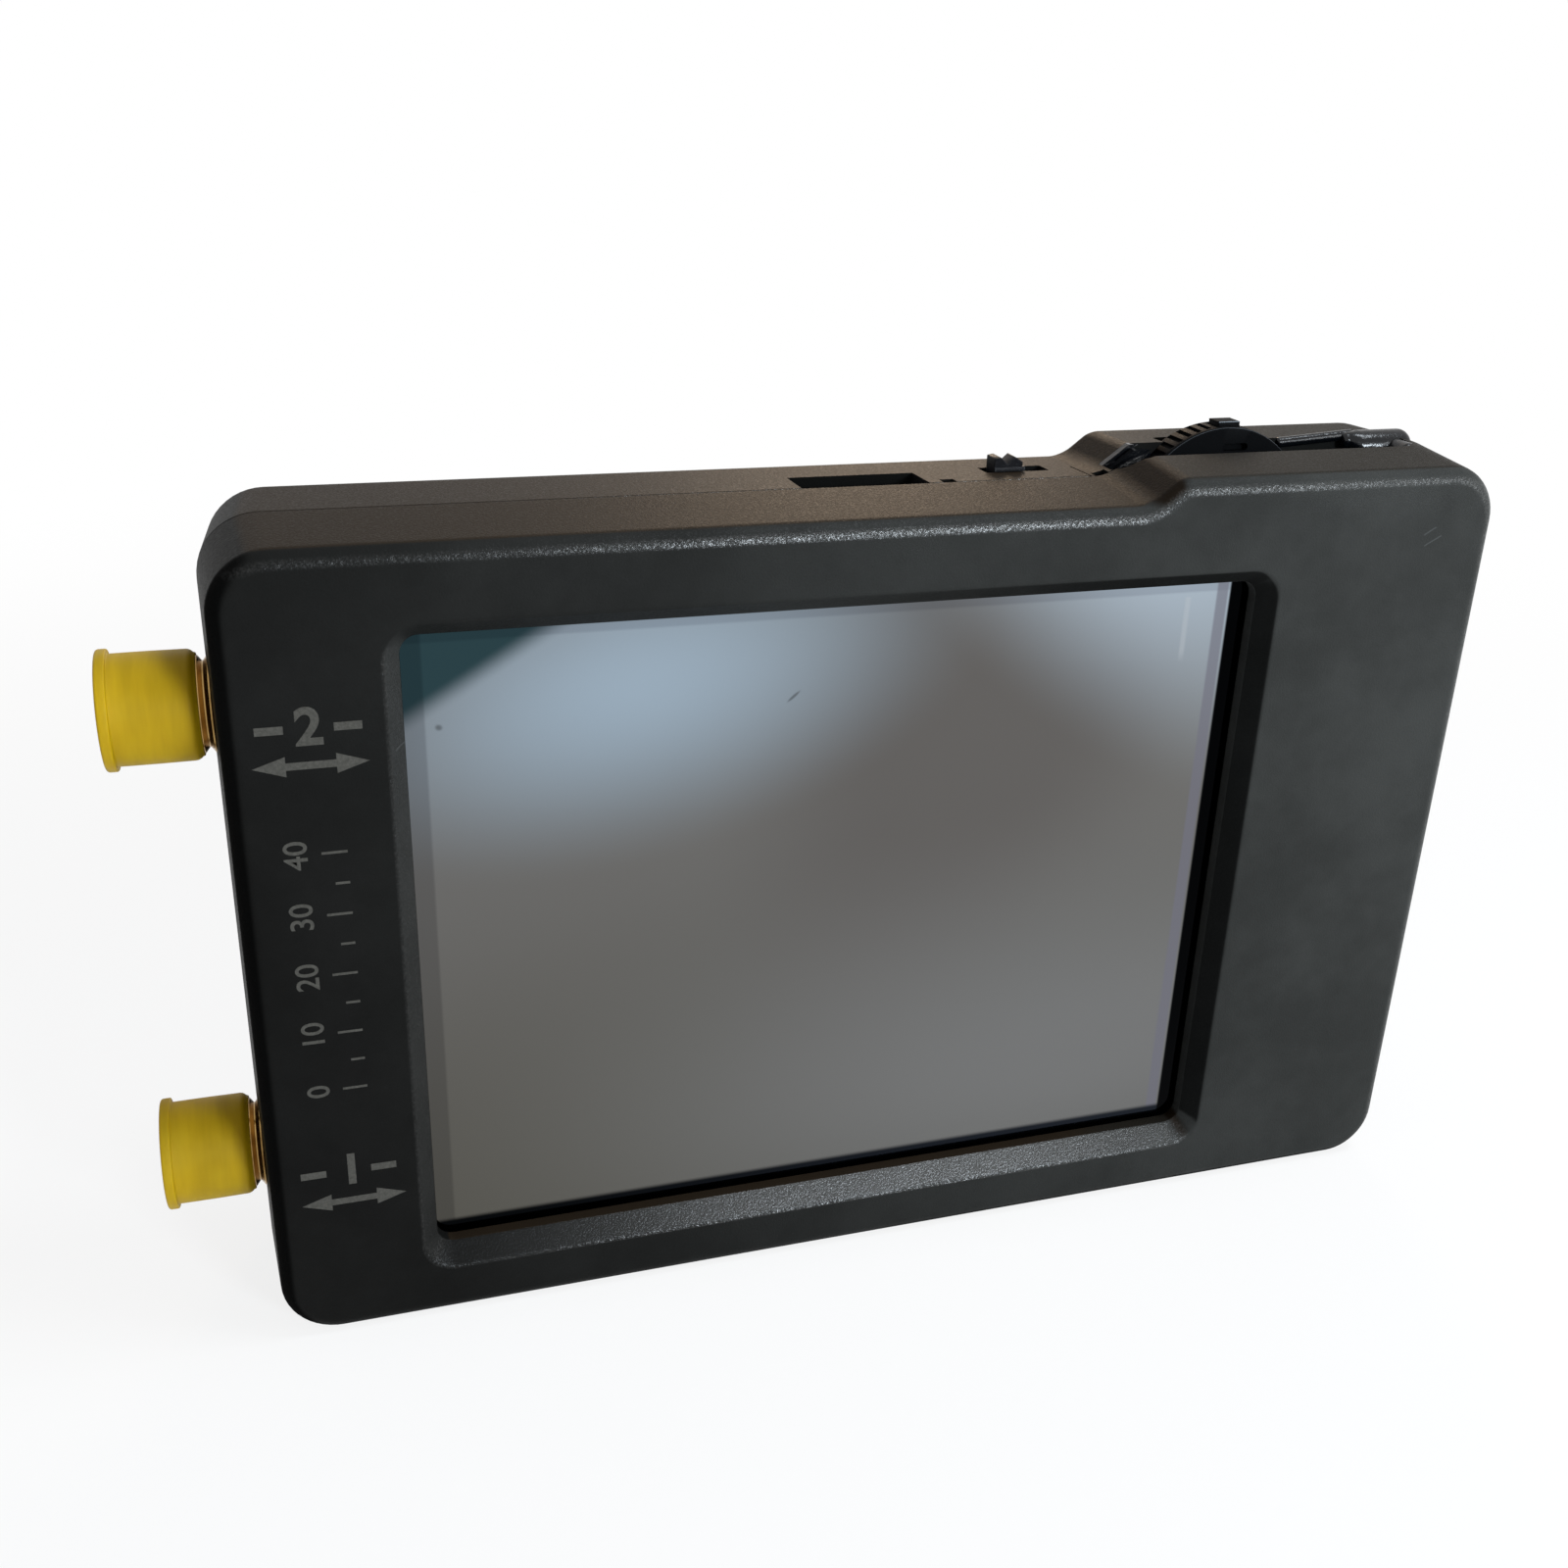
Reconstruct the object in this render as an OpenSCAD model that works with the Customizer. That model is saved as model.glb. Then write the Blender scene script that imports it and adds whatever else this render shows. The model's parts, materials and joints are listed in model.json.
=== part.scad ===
// Handheld spectrum analyzer: a two-shell moulded case with a recessed display in
// front, two coaxial ports with push-on dust caps on the left side, and a charging
// socket, a slide switch and a jog wheel along the top.
// Every module is written from the case's left, front, bottom corner: X runs to the
// right, Y from the display to the back and Z up. place() moves that corner so that the
// origin is the middle of the underside of the whole object, caps included.

/* [Case] */
// Width of the case at the parting line
case_w = 91.1; // [84:0.1:112]
// Height of the case beside the raised hump
case_h = 58.2; // [55:0.1:72]
// Thickness of the case from front to back
case_t = 16.2; // [15:0.1:22]
// How far the hump round the jog wheel stands above the rest of the top
hump_rise = 1.8; // [1:0.1:3.5]
// Distance from the case's right side to the foot of the hump
hump_span = 28.4; // [27:0.1:34]
// Width of the slope that leads up to the hump
hump_run = 2.3; // [1.5:0.1:4]
// Depth of the parting line behind the front face
split_y = 7.9; // [7.6:0.1:9.5]
// Radius of the case's outline at its four corners
corner_r = 4.05; // [3:0.05:5.5]
// Radius of the rounded rim of the front and back faces
edge_r = 1.2; // [0.6:0.1:1.6]
// How far the side walls lean inwards from the parting line to the faces
flare = 0.55; // [0.2:0.05:0.9]
// Thickness of the side walls
wall = 1.6; // [1.2:0.1:2.2]
// Thickness of the front wall round the display
front_wall = 2.2; // [2:0.1:2.6]
// Thickness of the back wall
back_wall = 1.6; // [1.2:0.1:2.2]
// Height of the tongue that joins the two shells
tongue_h = 1.1; // [0.8:0.1:1.4]
// Gap left round the tongue
tongue_gap = 0.1; // [0.05:0.05:0.2]

/* [Window] */
// Distance from the case's left side to the bevel round the display window
window_x = 10.5; // [9:0.1:13]
// Distance from the underside to the bevel round the display window
window_z = 3.9; // [3:0.1:6]
// Width of the window over its bevel
window_w = 62.6; // [50:0.1:66]
// Height of the window over its bevel
window_h = 48.9; // [40:0.1:50]
// Width of the bevel
bevel_w = 1.1; // [0.6:0.1:1.6]
// Depth of the bevel
bevel_d = 1.3; // [0.8:0.1:1.6]
// Radius of the bevel's outer corners
window_r = 2.3; // [1.5:0.1:3.5]

/* [Display] */
// Width of the display panel
panel_w = 69.2; // [66:0.1:72]
// Height of the display panel
panel_h = 50; // [49:0.1:51.5]
// Thickness of the clear touch panel
touch_t = 1; // [0.7:0.1:1.2]
// Thickness of the black tape between the touch panel and the display
tape_t = 0.2; // [0.1:0.05:0.3]
// Thickness of the display with its backlight
display_t = 2.4; // [2:0.1:2.6]
// Width of the picture area
picture_w = 57.6; // [50:0.1:58]
// Height of the picture area
picture_h = 43.2; // [40:0.1:44]

/* [Main board] */
// Thickness of the main board
board_t = 1.6; // [1:0.1:1.6]
// Gap between the main board's edge and the right wall
board_edge_gap = 0.6; // [0.4:0.1:1]
// Distance of the fixing screws from the left and right sides
screw_in_x = 5.8; // [5.6:0.1:6.2]
// Distance of the lower fixing screws from the underside
screw_low_z = 5.2; // [4.8:0.1:5.4]
// Distance of the upper fixing screws below the top
screw_top_z = 5.2; // [4.9:0.1:5.6]

/* [Ports] */
// Height of the upper port's axis above the underside
port_high_z = 45.8; // [44:0.1:46.5]
// Height of the lower port's axis above the underside
port_low_z = 11.9; // [11.6:0.1:14]
// Outer radius of the port's thread
thread_r = 3.175; // [3.1:0.005:3.9]
// How far the port's barrel stands out of the case
barrel_out = 5.9; // [5:0.1:8]
// Wall of a dust cap
cap_wall = 0.275; // [0.2:0.005:0.8]
// How far a dust cap's flanged end stands out of the case
cap_out = 6.6; // [6.4:0.1:9]
// Gap between a dust cap and the case
cap_gap = 0.63; // [0.4:0.01:1]
// Radial gap between a dust cap and the thread
cap_clear = 0.05; // [0.03:0.01:0.1]
// How far the flange at a dust cap's closed end stands out
cap_rim = 0.32; // [0.2:0.01:0.6]

/* [Charging socket] */
// Distance from the case's left side to the middle of the charging socket
usb_x = 44.2; // [38:0.1:46]
// Width of the charging socket
usb_w = 8.94; // [8.9:0.01:9]
// Thickness of the charging socket
usb_t = 2.95; // [2.9:0.01:3.3]
// Gap between the charging socket and its slot in the case
usb_gap = 0.23; // [0.1:0.01:0.4]

/* [Power switch] */
// Distance from the case's left side to the left end of the switch slot
slot_x = 54.25; // [53.8:0.05:55]
// Length of the switch slot
slot_w = 4.95; // [4.6:0.05:5.4]
// Distance of the switch slot behind the parting line
slot_y = 2.4; // [2.2:0.1:2.8]
// Width of the switch slot from front to back
slot_d = 1.75; // [1.6:0.05:2]
// Width of the switch knob
knob_w = 2.75; // [2.4:0.05:2.9]
// Height of the switch knob above the case
knob_h = 1.25; // [0.8:0.05:2]
// Gap between the knob and the slot
knob_gap = 0.12; // [0.08:0.01:0.2]

/* [Jog wheel] */
// Radius of the jog wheel over its knurling
jog_r = 7.1; // [6.5:0.1:7.6]
// Thickness of the jog wheel
jog_t = 2.4; // [1.8:0.1:2.6]
// How far the jog wheel stands above the hump
jog_out = 1.2; // [0.8:0.1:2]
// Distance from the case's right side to the jog wheel's axis
jog_in_x = 18.55; // [17.5:0.05:20]
// Distance of the jog wheel behind the parting line
jog_y = 0.6; // [0.5:0.05:0.8]
// Height of the bump on the jog wheel's rim
jog_bump = 0.75; // [0.5:0.05:1]
// Number of teeth round the jog wheel
jog_teeth = 56; // [40:1:72]
// Radius of the jog wheel's axle
axle_r = 1; // [0.8:0.05:1.2]
// Radial running gap of the jog wheel on its axle
axle_gap = 0.05; // [0.02:0.01:0.08]
// How far the jog wheel can be pressed in
jog_press = 0.5; // [0.3:0.05:0.6]
// Width of the channel round the jog wheel from front to back
channel_d = 5.8; // [5.4:0.1:6.2]
// Distance of the channel behind the front face
channel_y = 6.1; // [5.8:0.1:6.3]
// Distance from the case's right side to the channel's right end
channel_in_x = 3.7; // [3.4:0.1:5]
// Distance from the foot of the hump to the channel's left end
channel_start = 1.3; // [0.8:0.1:1.6]

/* [Battery] */
// Width of the battery
battery_w = 34; // [28:0.5:34]
// Height of the battery
battery_h = 34; // [28:0.5:34]
// Thickness of the battery
battery_t = 3.4; // [2.8:0.1:3.5]
// Distance from the case's left side to the battery
battery_x = 34.5; // [33:0.5:36]
// Distance from the underside to the battery
battery_z = 9; // [8:0.5:12]
// Thickness of the foam tape behind the battery
pad_t = 0.3; // [0.2:0.1:0.5]

/* [Hidden] */
$fn = 48;

// Small overrun that lets a cut pass cleanly through a face
eps = 0.01;
// Steps in each rounded corner of the case outline
corner_steps = 8;
// Steps in the rounded rim of the faces
rim_steps = 4;
// Radii at the crest and the foot of the slope up to the hump
crest_r = 1.8;
foot_r = 3;

// Thickness of the front shell's lip outside the tongue, at the sides and below
lip_side = 0.46 * (wall + flare);
lip_low = 0.46 * wall;
// Inner faces of the tongue, at the sides and below
tongue_side = wall + flare - 0.25;
tongue_low = wall - 0.15;

hump_h = case_h + hump_rise;
foot_x = case_w - hump_span;
crest_x = foot_x + hump_run;
slope_angle = atan2(hump_rise, hump_run);
// Share of an inward offset by which the two corners of the slope move sideways
slope_shift = tan(slope_angle / 2);
inner_in = wall + flare;

// Display stack, from the window to the main board
touch_y = front_wall;
tape_y = touch_y + touch_t;
display_y = tape_y + tape_t;
board_y = split_y - board_t;
window_in_x = window_x + bevel_w;
window_in_z = window_z + bevel_w;
window_in_w = window_w - 2 * bevel_w;
window_in_h = window_h - 2 * bevel_w;
// Width of the panel's dark border between the window's edge and the picture
picture_in = 0.9;
// Border of the display left of and below the picture area
border_left = 3.7;
border_low = (panel_h - picture_h) / 2;
panel_x = window_in_x + picture_in - border_left;
panel_z = window_in_z + window_in_h / 2 - panel_h / 2;

// Main board
board_x = inner_in + 1.45;
board_right = case_w - inner_in - board_edge_gap;
board_z = wall + 0.7;
board_top = case_h - inner_in - 0.6;
screw_r = 0.95;
screw_hole_r = 1.15;
pilot_r = 0.8;
screw_head_r = 1.9;
screw_head_t = 1.1;
screw_head_gap = 0.2;
screw_head_in = 0.25;
boss_front_r = 2.2;
boss_back_r = 2.9;
screw_places = [
    for (x = [screw_in_x, case_w - screw_in_x])
        for (z = [screw_low_z, case_h - screw_top_z]) [x, z]
];

// Ports
port_y = split_y;
port_flange = 2 * thread_r - 0.15;
port_flange_t = board_x - inner_in - 0.15;
port_hole_r = thread_r + 0.2;
port_bore_r = 2.05;
insulator_gap = 0.01;
contact_r = 0.64;
contact_hole_r = 0.48;

// Charging socket
usb_y = split_y;
usb_len = 7.35;
usb_top = case_h - 1.25;
usb_shell_t = 0.3;

// Power switch
knob_x = slot_x + knob_gap;
knob_travel = slot_w - knob_w - 2 * knob_gap;
slot_front = split_y + slot_y;
switch_t = 5;
switch_top = case_h - inner_in - 0.2;
switch_h = 5.2;

// Jog wheel
// Radius of the channel's right end
channel_end_r = 1.2;
jog_x = case_w - jog_in_x;
jog_z = hump_h + jog_out - jog_r;
jog_front = split_y + jog_y;
jog_back = jog_front + jog_t;
tooth_depth = 0.25;
carrier_y = jog_back + 0.3;
carrier_t = 1.1;
carrier_w = 8.4;
carrier_low = jog_z - 4.6;
carrier_top = jog_z + 2.3;
rail_w = 1;
rail_gap = 0.05;
jog_base_top = jog_z - jog_r - jog_press - 0.4;
jog_base_h = 2.8;
spring_r = 0.55;
spring_wall = 0.15;

// Battery
inner_back = case_t - back_wall;
battery_y = inner_back - pad_t - battery_t;
lead_r = 0.6;
lead_bend = (battery_y + battery_t / 2 - split_y - 1.5) / 2;
lead_z = [battery_z + 15, battery_z + 17];
plug_x = battery_x + battery_w + 2 * lead_bend + 0.6;
plug_len = 3.2;

// Middle of the object's width, caps included
middle_x = (case_w - cap_out) / 2;

// Moves the case's left, front, bottom corner so that the origin is under the middle
module place() {
    translate([-middle_x, -case_t / 2, 0]) children();
}

// Lays a flat shape drawn in X and Z upright, from y to y + t
module upright(y, t) {
    translate([0, y + t, 0]) rotate([90, 0, 0]) linear_extrude(t) children();
}

// Block given by its lowest corner and its highest corner
module block(low, high) {
    translate(low) cube(high - low);
}

// Cylinder along X that starts at the point p
module rod_x(p, r, len) {
    translate(p) rotate([0, 90, 0]) cylinder(r = r, h = len);
}

// Cylinder along Y that starts at the point p
module rod_y(p, r, len) {
    translate(p) rotate([-90, 0, 0]) cylinder(r = r, h = len);
}

// Corners of the case outline, with their radii, for an inset at the sides and top of
// side and an inset at the underside of low
function case_corners(side, low) = [
    [side, low, corner_r - side, 180],
    [case_w - side, low, corner_r - side, 270],
    [case_w - side, hump_h - side, corner_r - side, 0]
];

// Arc about a centre, from one angle to another
function arc(cx, cz, r, from, to) = [
    for (i = [0 : corner_steps])
        let (a = from + (to - from) * i / corner_steps)
            [cx + r * cos(a), cz + r * sin(a)]
];

// Case outline, counter-clockwise as seen with X to the right and Z up
function case_outline(side, low) =
    let (
        r = corner_r - side,
        x1 = case_w - side,
        top = case_h - side,
        hump = hump_h - side,
        cx = crest_x + side * slope_shift,
        fx = foot_x + side * slope_shift,
        cr = max(crest_r - side, 0.3),
        fr = foot_r + side,
        c_in = cr * slope_shift,
        f_in = fr * slope_shift
    )
    concat(
        arc(side + r, low + r, r, 180, 270),
        arc(x1 - r, low + r, r, 270, 360),
        arc(x1 - r, hump - r, r, 0, 90),
        arc(cx + c_in, hump - cr, cr, 90, 90 + slope_angle),
        arc(fx - f_in, top + fr, fr, 270 + slope_angle, 270),
        arc(side + r, top - r, r, 90, 180)
    );

// Rounded rectangle outline
function rounded_outline(x, z, w, h, r) = concat(
    arc(x + r, z + r, r, 180, 270),
    arc(x + w - r, z + r, r, 270, 360),
    arc(x + w - r, z + h - r, r, 0, 90),
    arc(x + r, z + h - r, r, 90, 180)
);

// Solid through a stack of outlines with the same number of points. Each ring is
// [y, outline], and y rises from ring to ring.
module skin(rings) {
    n = len(rings[0][1]);
    last = len(rings) - 1;
    points = [for (ring = rings) for (p = ring[1]) [p[0], ring[0], p[1]]];
    sides = [
        for (k = [0 : last - 1])
            for (i = [0 : n - 1])
                let (a = k * n + i, b = k * n + (i + 1) % n)
                    [a, b, b + n, a + n]
    ];
    front = [[for (i = [n - 1 : -1 : 0]) i]];
    back = [[for (i = [0 : n - 1]) last * n + i]];
    polyhedron(points = points, faces = concat(front, sides, back), convexity = 6);
}

// Rings of a shell's outer surface from a face, with its rounded rim, to the parting line
function rim_rings(face, inward) = [
    for (i = [0 : rim_steps])
        let (a = 90 * i / rim_steps, e = edge_r * (1 - sin(a)))
            [face + inward * edge_r * (1 - cos(a)), case_outline(flare + e, e)]
];

// Outer solids of the two shells, each cut flat at the parting line
module front_solid() {
    over = 1;
    difference() {
        skin(concat(
            rim_rings(0, 1),
            [[split_y, case_outline(0, 0)], [split_y + over, case_outline(0, 0)]]
        ));
        block([-over, split_y, -over], [case_w + over, split_y + 2 * over, hump_h + over]);
    }
}

module back_solid() {
    over = 1;
    rim = rim_rings(case_t, -1);
    count = len(rim);
    flipped = [for (i = [count - 1 : -1 : 0]) rim[i]];
    difference() {
        skin(concat(
            [[split_y - over, case_outline(0, 0)], [split_y, case_outline(0, 0)]],
            flipped
        ));
        block([-over, split_y - 2 * over, -over], [case_w + over, split_y, hump_h + over]);
    }
}

// Straight-sided space between two depths, with an inset at the sides and one below
module hollow(y0, y1, side, low) {
    upright(y0, y1 - y0) polygon(case_outline(side, low));
}

// Round holes for the two port barrels, where the shells meet
module port_holes() {
    for (z = [port_high_z, port_low_z])
        rod_x([-1, port_y, z], port_hole_r, inner_in + 2);
}

// Channel that the jog wheel stands in, with rounded ends
module jog_channel() {
    x0 = foot_x + channel_start;
    end_r = channel_end_r;
    low = case_h - inner_in - 1.4;
    high = hump_h + 1;
    length = case_w - channel_in_x - x0;
    block([x0, channel_y, low], [x0 + length - end_r, channel_y + channel_d, high]);
    block([x0, channel_y + end_r, low], [x0 + length, channel_y + channel_d - end_r, high]);
    for (y = [channel_y + end_r, channel_y + channel_d - end_r])
        translate([x0 + length - end_r, y, low]) cylinder(r = end_r, h = high - low);
}

// Front shell, with the bevelled window, the screw bosses and the groove for the tongue
module front_shell() {
    outer = rounded_outline(window_x, window_z, window_w, window_h, window_r);
    inner = rounded_outline(
        window_in_x, window_in_z, window_in_w, window_in_h, window_r - bevel_w
    );
    color([0.13, 0.135, 0.14]) place() difference() {
        front_solid();
        difference() {
            hollow(front_wall, split_y + 1, inner_in, wall);
            for (p = screw_places)
                rod_y([p[0], front_wall - 0.5, p[1]], boss_front_r, board_y - front_wall + 0.5);
        }
        hollow(split_y - tongue_h - tongue_gap, split_y + 1, lip_side, lip_low);
        skin([[-eps, outer], [bevel_d, inner], [front_wall + 1, inner]]);
        for (p = screw_places)
            rod_y([p[0], front_wall - 0.8, p[1]], pilot_r, split_y);
        port_holes();
        jog_channel();
    }
}

// Back shell, with its tongue, screw bosses, socket slot, switch slot and jog channel
module back_shell() {
    notch_w = 1.05;
    notch_d = 0.85;
    notch_h = 0.5;
    color([0.13, 0.135, 0.14]) place() difference() {
        union() {
            difference() {
                back_solid();
                hollow(split_y - 1, inner_back, inner_in, wall);
            }
            for (p = screw_places)
                rod_y([p[0], split_y, p[1]], boss_back_r, inner_back - split_y + 0.5);
            difference() {
                hollow(split_y - tongue_h, split_y + 0.6, lip_side + tongue_gap, lip_low + tongue_gap);
                hollow(split_y - tongue_h - 1, split_y + 1, tongue_side, tongue_low);
            }
        }
        for (p = screw_places) {
            rod_y([p[0], split_y - 1, p[1]], screw_hole_r, case_t);
            rod_y(
                [p[0], case_t - screw_head_in - screw_head_t, p[1]],
                screw_head_r + screw_head_gap, screw_head_t + 1
            );
        }
        port_holes();
        jog_channel();
        block(
            [usb_x - usb_w / 2 - usb_gap, usb_y - tongue_h - 1, case_h - inner_in - 2],
            [usb_x + usb_w / 2 + usb_gap, usb_y + usb_t + 2 * usb_gap, case_h + 1]
        );
        block(
            [slot_x, slot_front, case_h - inner_in - 1],
            [slot_x + slot_w, slot_front + slot_d, case_h + 1]
        );
        for (x = [usb_x + usb_w / 2 + 1.25, slot_x + slot_w + 2.5])
            block([x, split_y - eps, case_h - notch_h], [x + notch_w, split_y + notch_d, case_h + 1]);
    }
}

// Glossy inner rim that follows the hump along the back of the channel
module channel_rim() {
    x0 = foot_x + channel_start;
    x1 = case_w - channel_in_x - channel_end_r;
    drop = 0.45;
    thick = 0.95;
    rim_t = 0.55;
    end_drop = 1.6;
    y = channel_y + channel_d - rim_t;
    hump = hump_h - drop;
    crest_at = crest_x + drop * slope_shift;
    inner_crest = crest_at + thick * slope_shift;
    start = hump - (crest_at - x0) * tan(slope_angle);
    inner_start = hump - thick - (inner_crest - x0) * tan(slope_angle);
    outline = [
        [x0, inner_start], [inner_crest, hump - thick],
        [x1 - end_drop, hump - thick], [x1 - thick, hump - end_drop],
        [x1 - thick, hump - end_drop - thick], [x1, hump - end_drop - thick],
        [x1, hump - end_drop], [x1 - 0.45, hump - 0.5], [x1 - end_drop, hump],
        [crest_at, hump], [x0, start]
    ];
    color([0.05, 0.055, 0.07]) place() upright(y, rim_t) polygon(outline);
}

// Clear touch panel behind the window
module touch_panel() {
    color([0.35, 0.4, 0.44, 0.6]) place()
        block(
            [panel_x, touch_y, panel_z],
            [panel_x + panel_w, touch_y + touch_t, panel_z + panel_h]
        );
}

// Black tape frame between the touch panel and the display
module touch_tape() {
    tape_in = 0.4;
    color([0.03, 0.03, 0.035]) place() difference() {
        block(
            [panel_x + tape_in, tape_y, panel_z + tape_in],
            [panel_x + panel_w - tape_in, tape_y + tape_t, panel_z + panel_h - tape_in]
        );
        block(
            [panel_x + border_left, tape_y - 1, panel_z + border_low],
            [panel_x + border_left + picture_w, tape_y + 1, panel_z + border_low + picture_h]
        );
    }
}

// Display glass in its backlight frame, with the picture area standing a little proud
module display_module() {
    glass_t = 1.3;
    frame_in = 0.3;
    color([0.16, 0.17, 0.19]) place() {
        block(
            [panel_x + frame_in, display_y + glass_t, panel_z + frame_in],
            [panel_x + panel_w - frame_in, display_y + display_t, panel_z + panel_h - frame_in]
        );
        block(
            [panel_x + 1.2, display_y, panel_z + 1],
            [panel_x + panel_w - 2.4, display_y + glass_t, panel_z + panel_h - 1]
        );
    }
}

// Double-sided tape pads that hold the display to the main board
module display_tape() {
    tape_w = 9;
    color([0.85, 0.83, 0.76]) place()
        for (x = [panel_x + 6, panel_x + panel_w - 6 - tape_w])
            block(
                [x, display_y + display_t, panel_z + 5],
                [x + tape_w, board_y, panel_z + panel_h - 5]
            );
}

// Flexible connector that bends from the display's right edge down to the main board
module display_flex() {
    flex_t = 0.15;
    flex_w = 18;
    start_y = display_y + display_t - 0.6;
    bend = (board_y - flex_t / 2 - start_y) / 2;
    x0 = panel_x + panel_w - 0.3;
    solder_len = 3.2;
    low = panel_z + panel_h / 2 - flex_w / 2;
    color([0.75, 0.45, 0.12]) place() translate([0, 0, low]) linear_extrude(flex_w) {
        translate([x0 + 0.8, start_y + bend]) intersection() {
            difference() {
                circle(bend + flex_t / 2);
                circle(bend - flex_t / 2);
            }
            translate([0, -2 * bend]) square(2 * bend);
        }
        translate([x0 + 0.8 + 2 * bend, start_y + bend]) intersection() {
            difference() {
                circle(bend + flex_t / 2);
                circle(bend - flex_t / 2);
            }
            translate([-2 * bend, 0]) square(2 * bend);
        }
        translate([x0, start_y - flex_t / 2]) square([0.8 + eps, flex_t]);
        translate([x0 + 0.8 + 2 * bend - eps, board_y - flex_t]) square([solder_len, flex_t]);
    }
}

// Main board, with its four fixing holes
module main_board() {
    color([0.05, 0.12, 0.1]) place() difference() {
        block([board_x, board_y, board_z], [board_right, split_y, board_top]);
        for (p = screw_places) rod_y([p[0], board_y - 1, p[1]], screw_hole_r, board_t + 2);
    }
}

// Pressed tin lid over part of the radio circuit, open towards the board
module shield(x, z, w, h) {
    lid_t = 0.2;
    lid_h = 2.2;
    vent_r = 0.5;
    vent_step = 2.5;
    color([0.75, 0.75, 0.73]) place() difference() {
        block([x, split_y, z], [x + w, split_y + lid_h, z + h]);
        block(
            [x + lid_t, split_y - 1, z + lid_t],
            [x + w - lid_t, split_y + lid_h - lid_t, z + h - lid_t]
        );
        for (i = [1 : floor(w / vent_step) - 1])
            for (side = [0.25, 0.75])
                rod_y([x + i * vent_step, split_y + lid_h - 1, z + side * h], vent_r, 2);
    }
}

module rf_shield_high() {
    shield(board_x + 7, port_high_z - 9.3, 20, 14);
}

module rf_shield_low() {
    shield(board_x + 7, port_low_z - 5.4, 22, 18);
}

// Square chip with a pin-one dimple
module chip(x, z, size, t) {
    difference() {
        block([x, split_y, z], [x + size, split_y + t, z + size]);
        rod_y([x + 1, split_y + t - 0.1, z + size - 1], 0.35, 1);
    }
}

module processor() {
    color([0.09, 0.09, 0.1]) place() chip(battery_x + 8, battery_z + 12, 7, 1.4);
}

// Mixer, synthesizer and memory chips
module signal_chips() {
    color([0.1, 0.1, 0.11]) place() {
        chip(board_x + 31, port_high_z - 8, 4, 0.9);
        chip(battery_x + 20, battery_z + 6, 5, 0.9);
        chip(battery_x + 22, battery_z + 18, 4, 0.9);
        chip(jog_x - 2, battery_z + 22, 3, 0.9);
    }
}

// Crystal and reference oscillator in metal cans
module crystals() {
    color([0.8, 0.8, 0.78]) place() {
        block(
            [battery_x + 3, split_y, battery_z + 14],
            [battery_x + 5.5, split_y + 0.8, battery_z + 17.2]
        );
        block(
            [board_x + 36.5, split_y, port_high_z - 7.5],
            [board_x + 41.5, split_y + 1.2, port_high_z - 4.3]
        );
    }
}

// Rows of small resistors and capacitors
module small_parts() {
    size = [1, 0.5, 0.5];
    color([0.6, 0.5, 0.38]) place() {
        for (i = [0 : 9])
            translate([battery_x + 4 + i * 2.6, split_y, battery_z + 2.5]) cube(size);
        for (i = [0 : 7])
            translate([battery_x + 18 + (i % 4) * 2.4, split_y, battery_z + 25 + floor(i / 4) * 2])
                cube(size);
        for (i = [0 : 5])
            translate([case_w - 13 + (i % 2) * 2.4, split_y, battery_z + 6 + floor(i / 2) * 2.2])
                cube(size);
    }
}

// Flat rounded bar, the cross-section of the charging socket
module usb_section(w, t) {
    r = t / 2 - eps;
    translate([usb_x - w / 2 + r, usb_y + usb_t / 2]) circle(r);
    translate([usb_x + w / 2 - r, usb_y + usb_t / 2]) circle(r);
    translate([usb_x - w / 2 + r, usb_y + usb_t / 2 - r]) square([w - 2 * r, 2 * r]);
}

// Metal shell of the charging socket, open at the top, with feet on the board
module usb_shell() {
    foot_w = 1.1;
    color([0.8, 0.8, 0.8]) place() {
        difference() {
            translate([0, 0, usb_top - usb_len]) linear_extrude(usb_len)
                usb_section(usb_w, usb_t);
            translate([0, 0, usb_top - usb_len + 1]) linear_extrude(usb_len)
                usb_section(usb_w - 2 * usb_shell_t, usb_t - 2 * usb_shell_t);
        }
        for (x = [usb_x - usb_w / 2, usb_x + usb_w / 2 - foot_w])
            block(
                [x, split_y, usb_top - usb_len + 0.6],
                [x + foot_w, split_y + usb_t / 2, usb_top - usb_len + 2]
            );
    }
}

// Plastic tongue in the middle of the charging socket
module usb_tongue() {
    tongue_w = 6.2;
    tongue_t = 0.7;
    color([0.05, 0.05, 0.05]) place()
        block(
            [usb_x - tongue_w / 2, usb_y + usb_t / 2 - tongue_t / 2, usb_top - usb_len + 1],
            [usb_x + tongue_w / 2, usb_y + usb_t / 2 + tongue_t / 2, usb_top - 0.9]
        );
}

// Slide switch body, with a slot in its top for the knob
module switch_body() {
    side = 1.1;
    color([0.7, 0.7, 0.7]) place() difference() {
        block(
            [slot_x - side, split_y, switch_top - switch_h],
            [slot_x + slot_w + side, split_y + switch_t, switch_top]
        );
        block(
            [slot_x, slot_front, switch_top - 2.4],
            [slot_x + slot_w, slot_front + slot_d, switch_top + 1]
        );
    }
}

// Slide switch knob, with two ridges for a fingernail
module switch_knob() {
    low = switch_top - 2;
    top = case_h + knob_h;
    depth = slot_d - 2 * knob_gap;
    ridges = [
        [0, low], [knob_w, low], [knob_w, top - 0.5], [knob_w - 0.75, top],
        [knob_w - 1.45, top - 0.65], [0.6, top], [0, top - 0.1]
    ];
    color([0.1, 0.1, 0.105]) place() translate([knob_x, 0, 0])
        upright(slot_front + knob_gap, depth) polygon(ridges);
}

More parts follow.
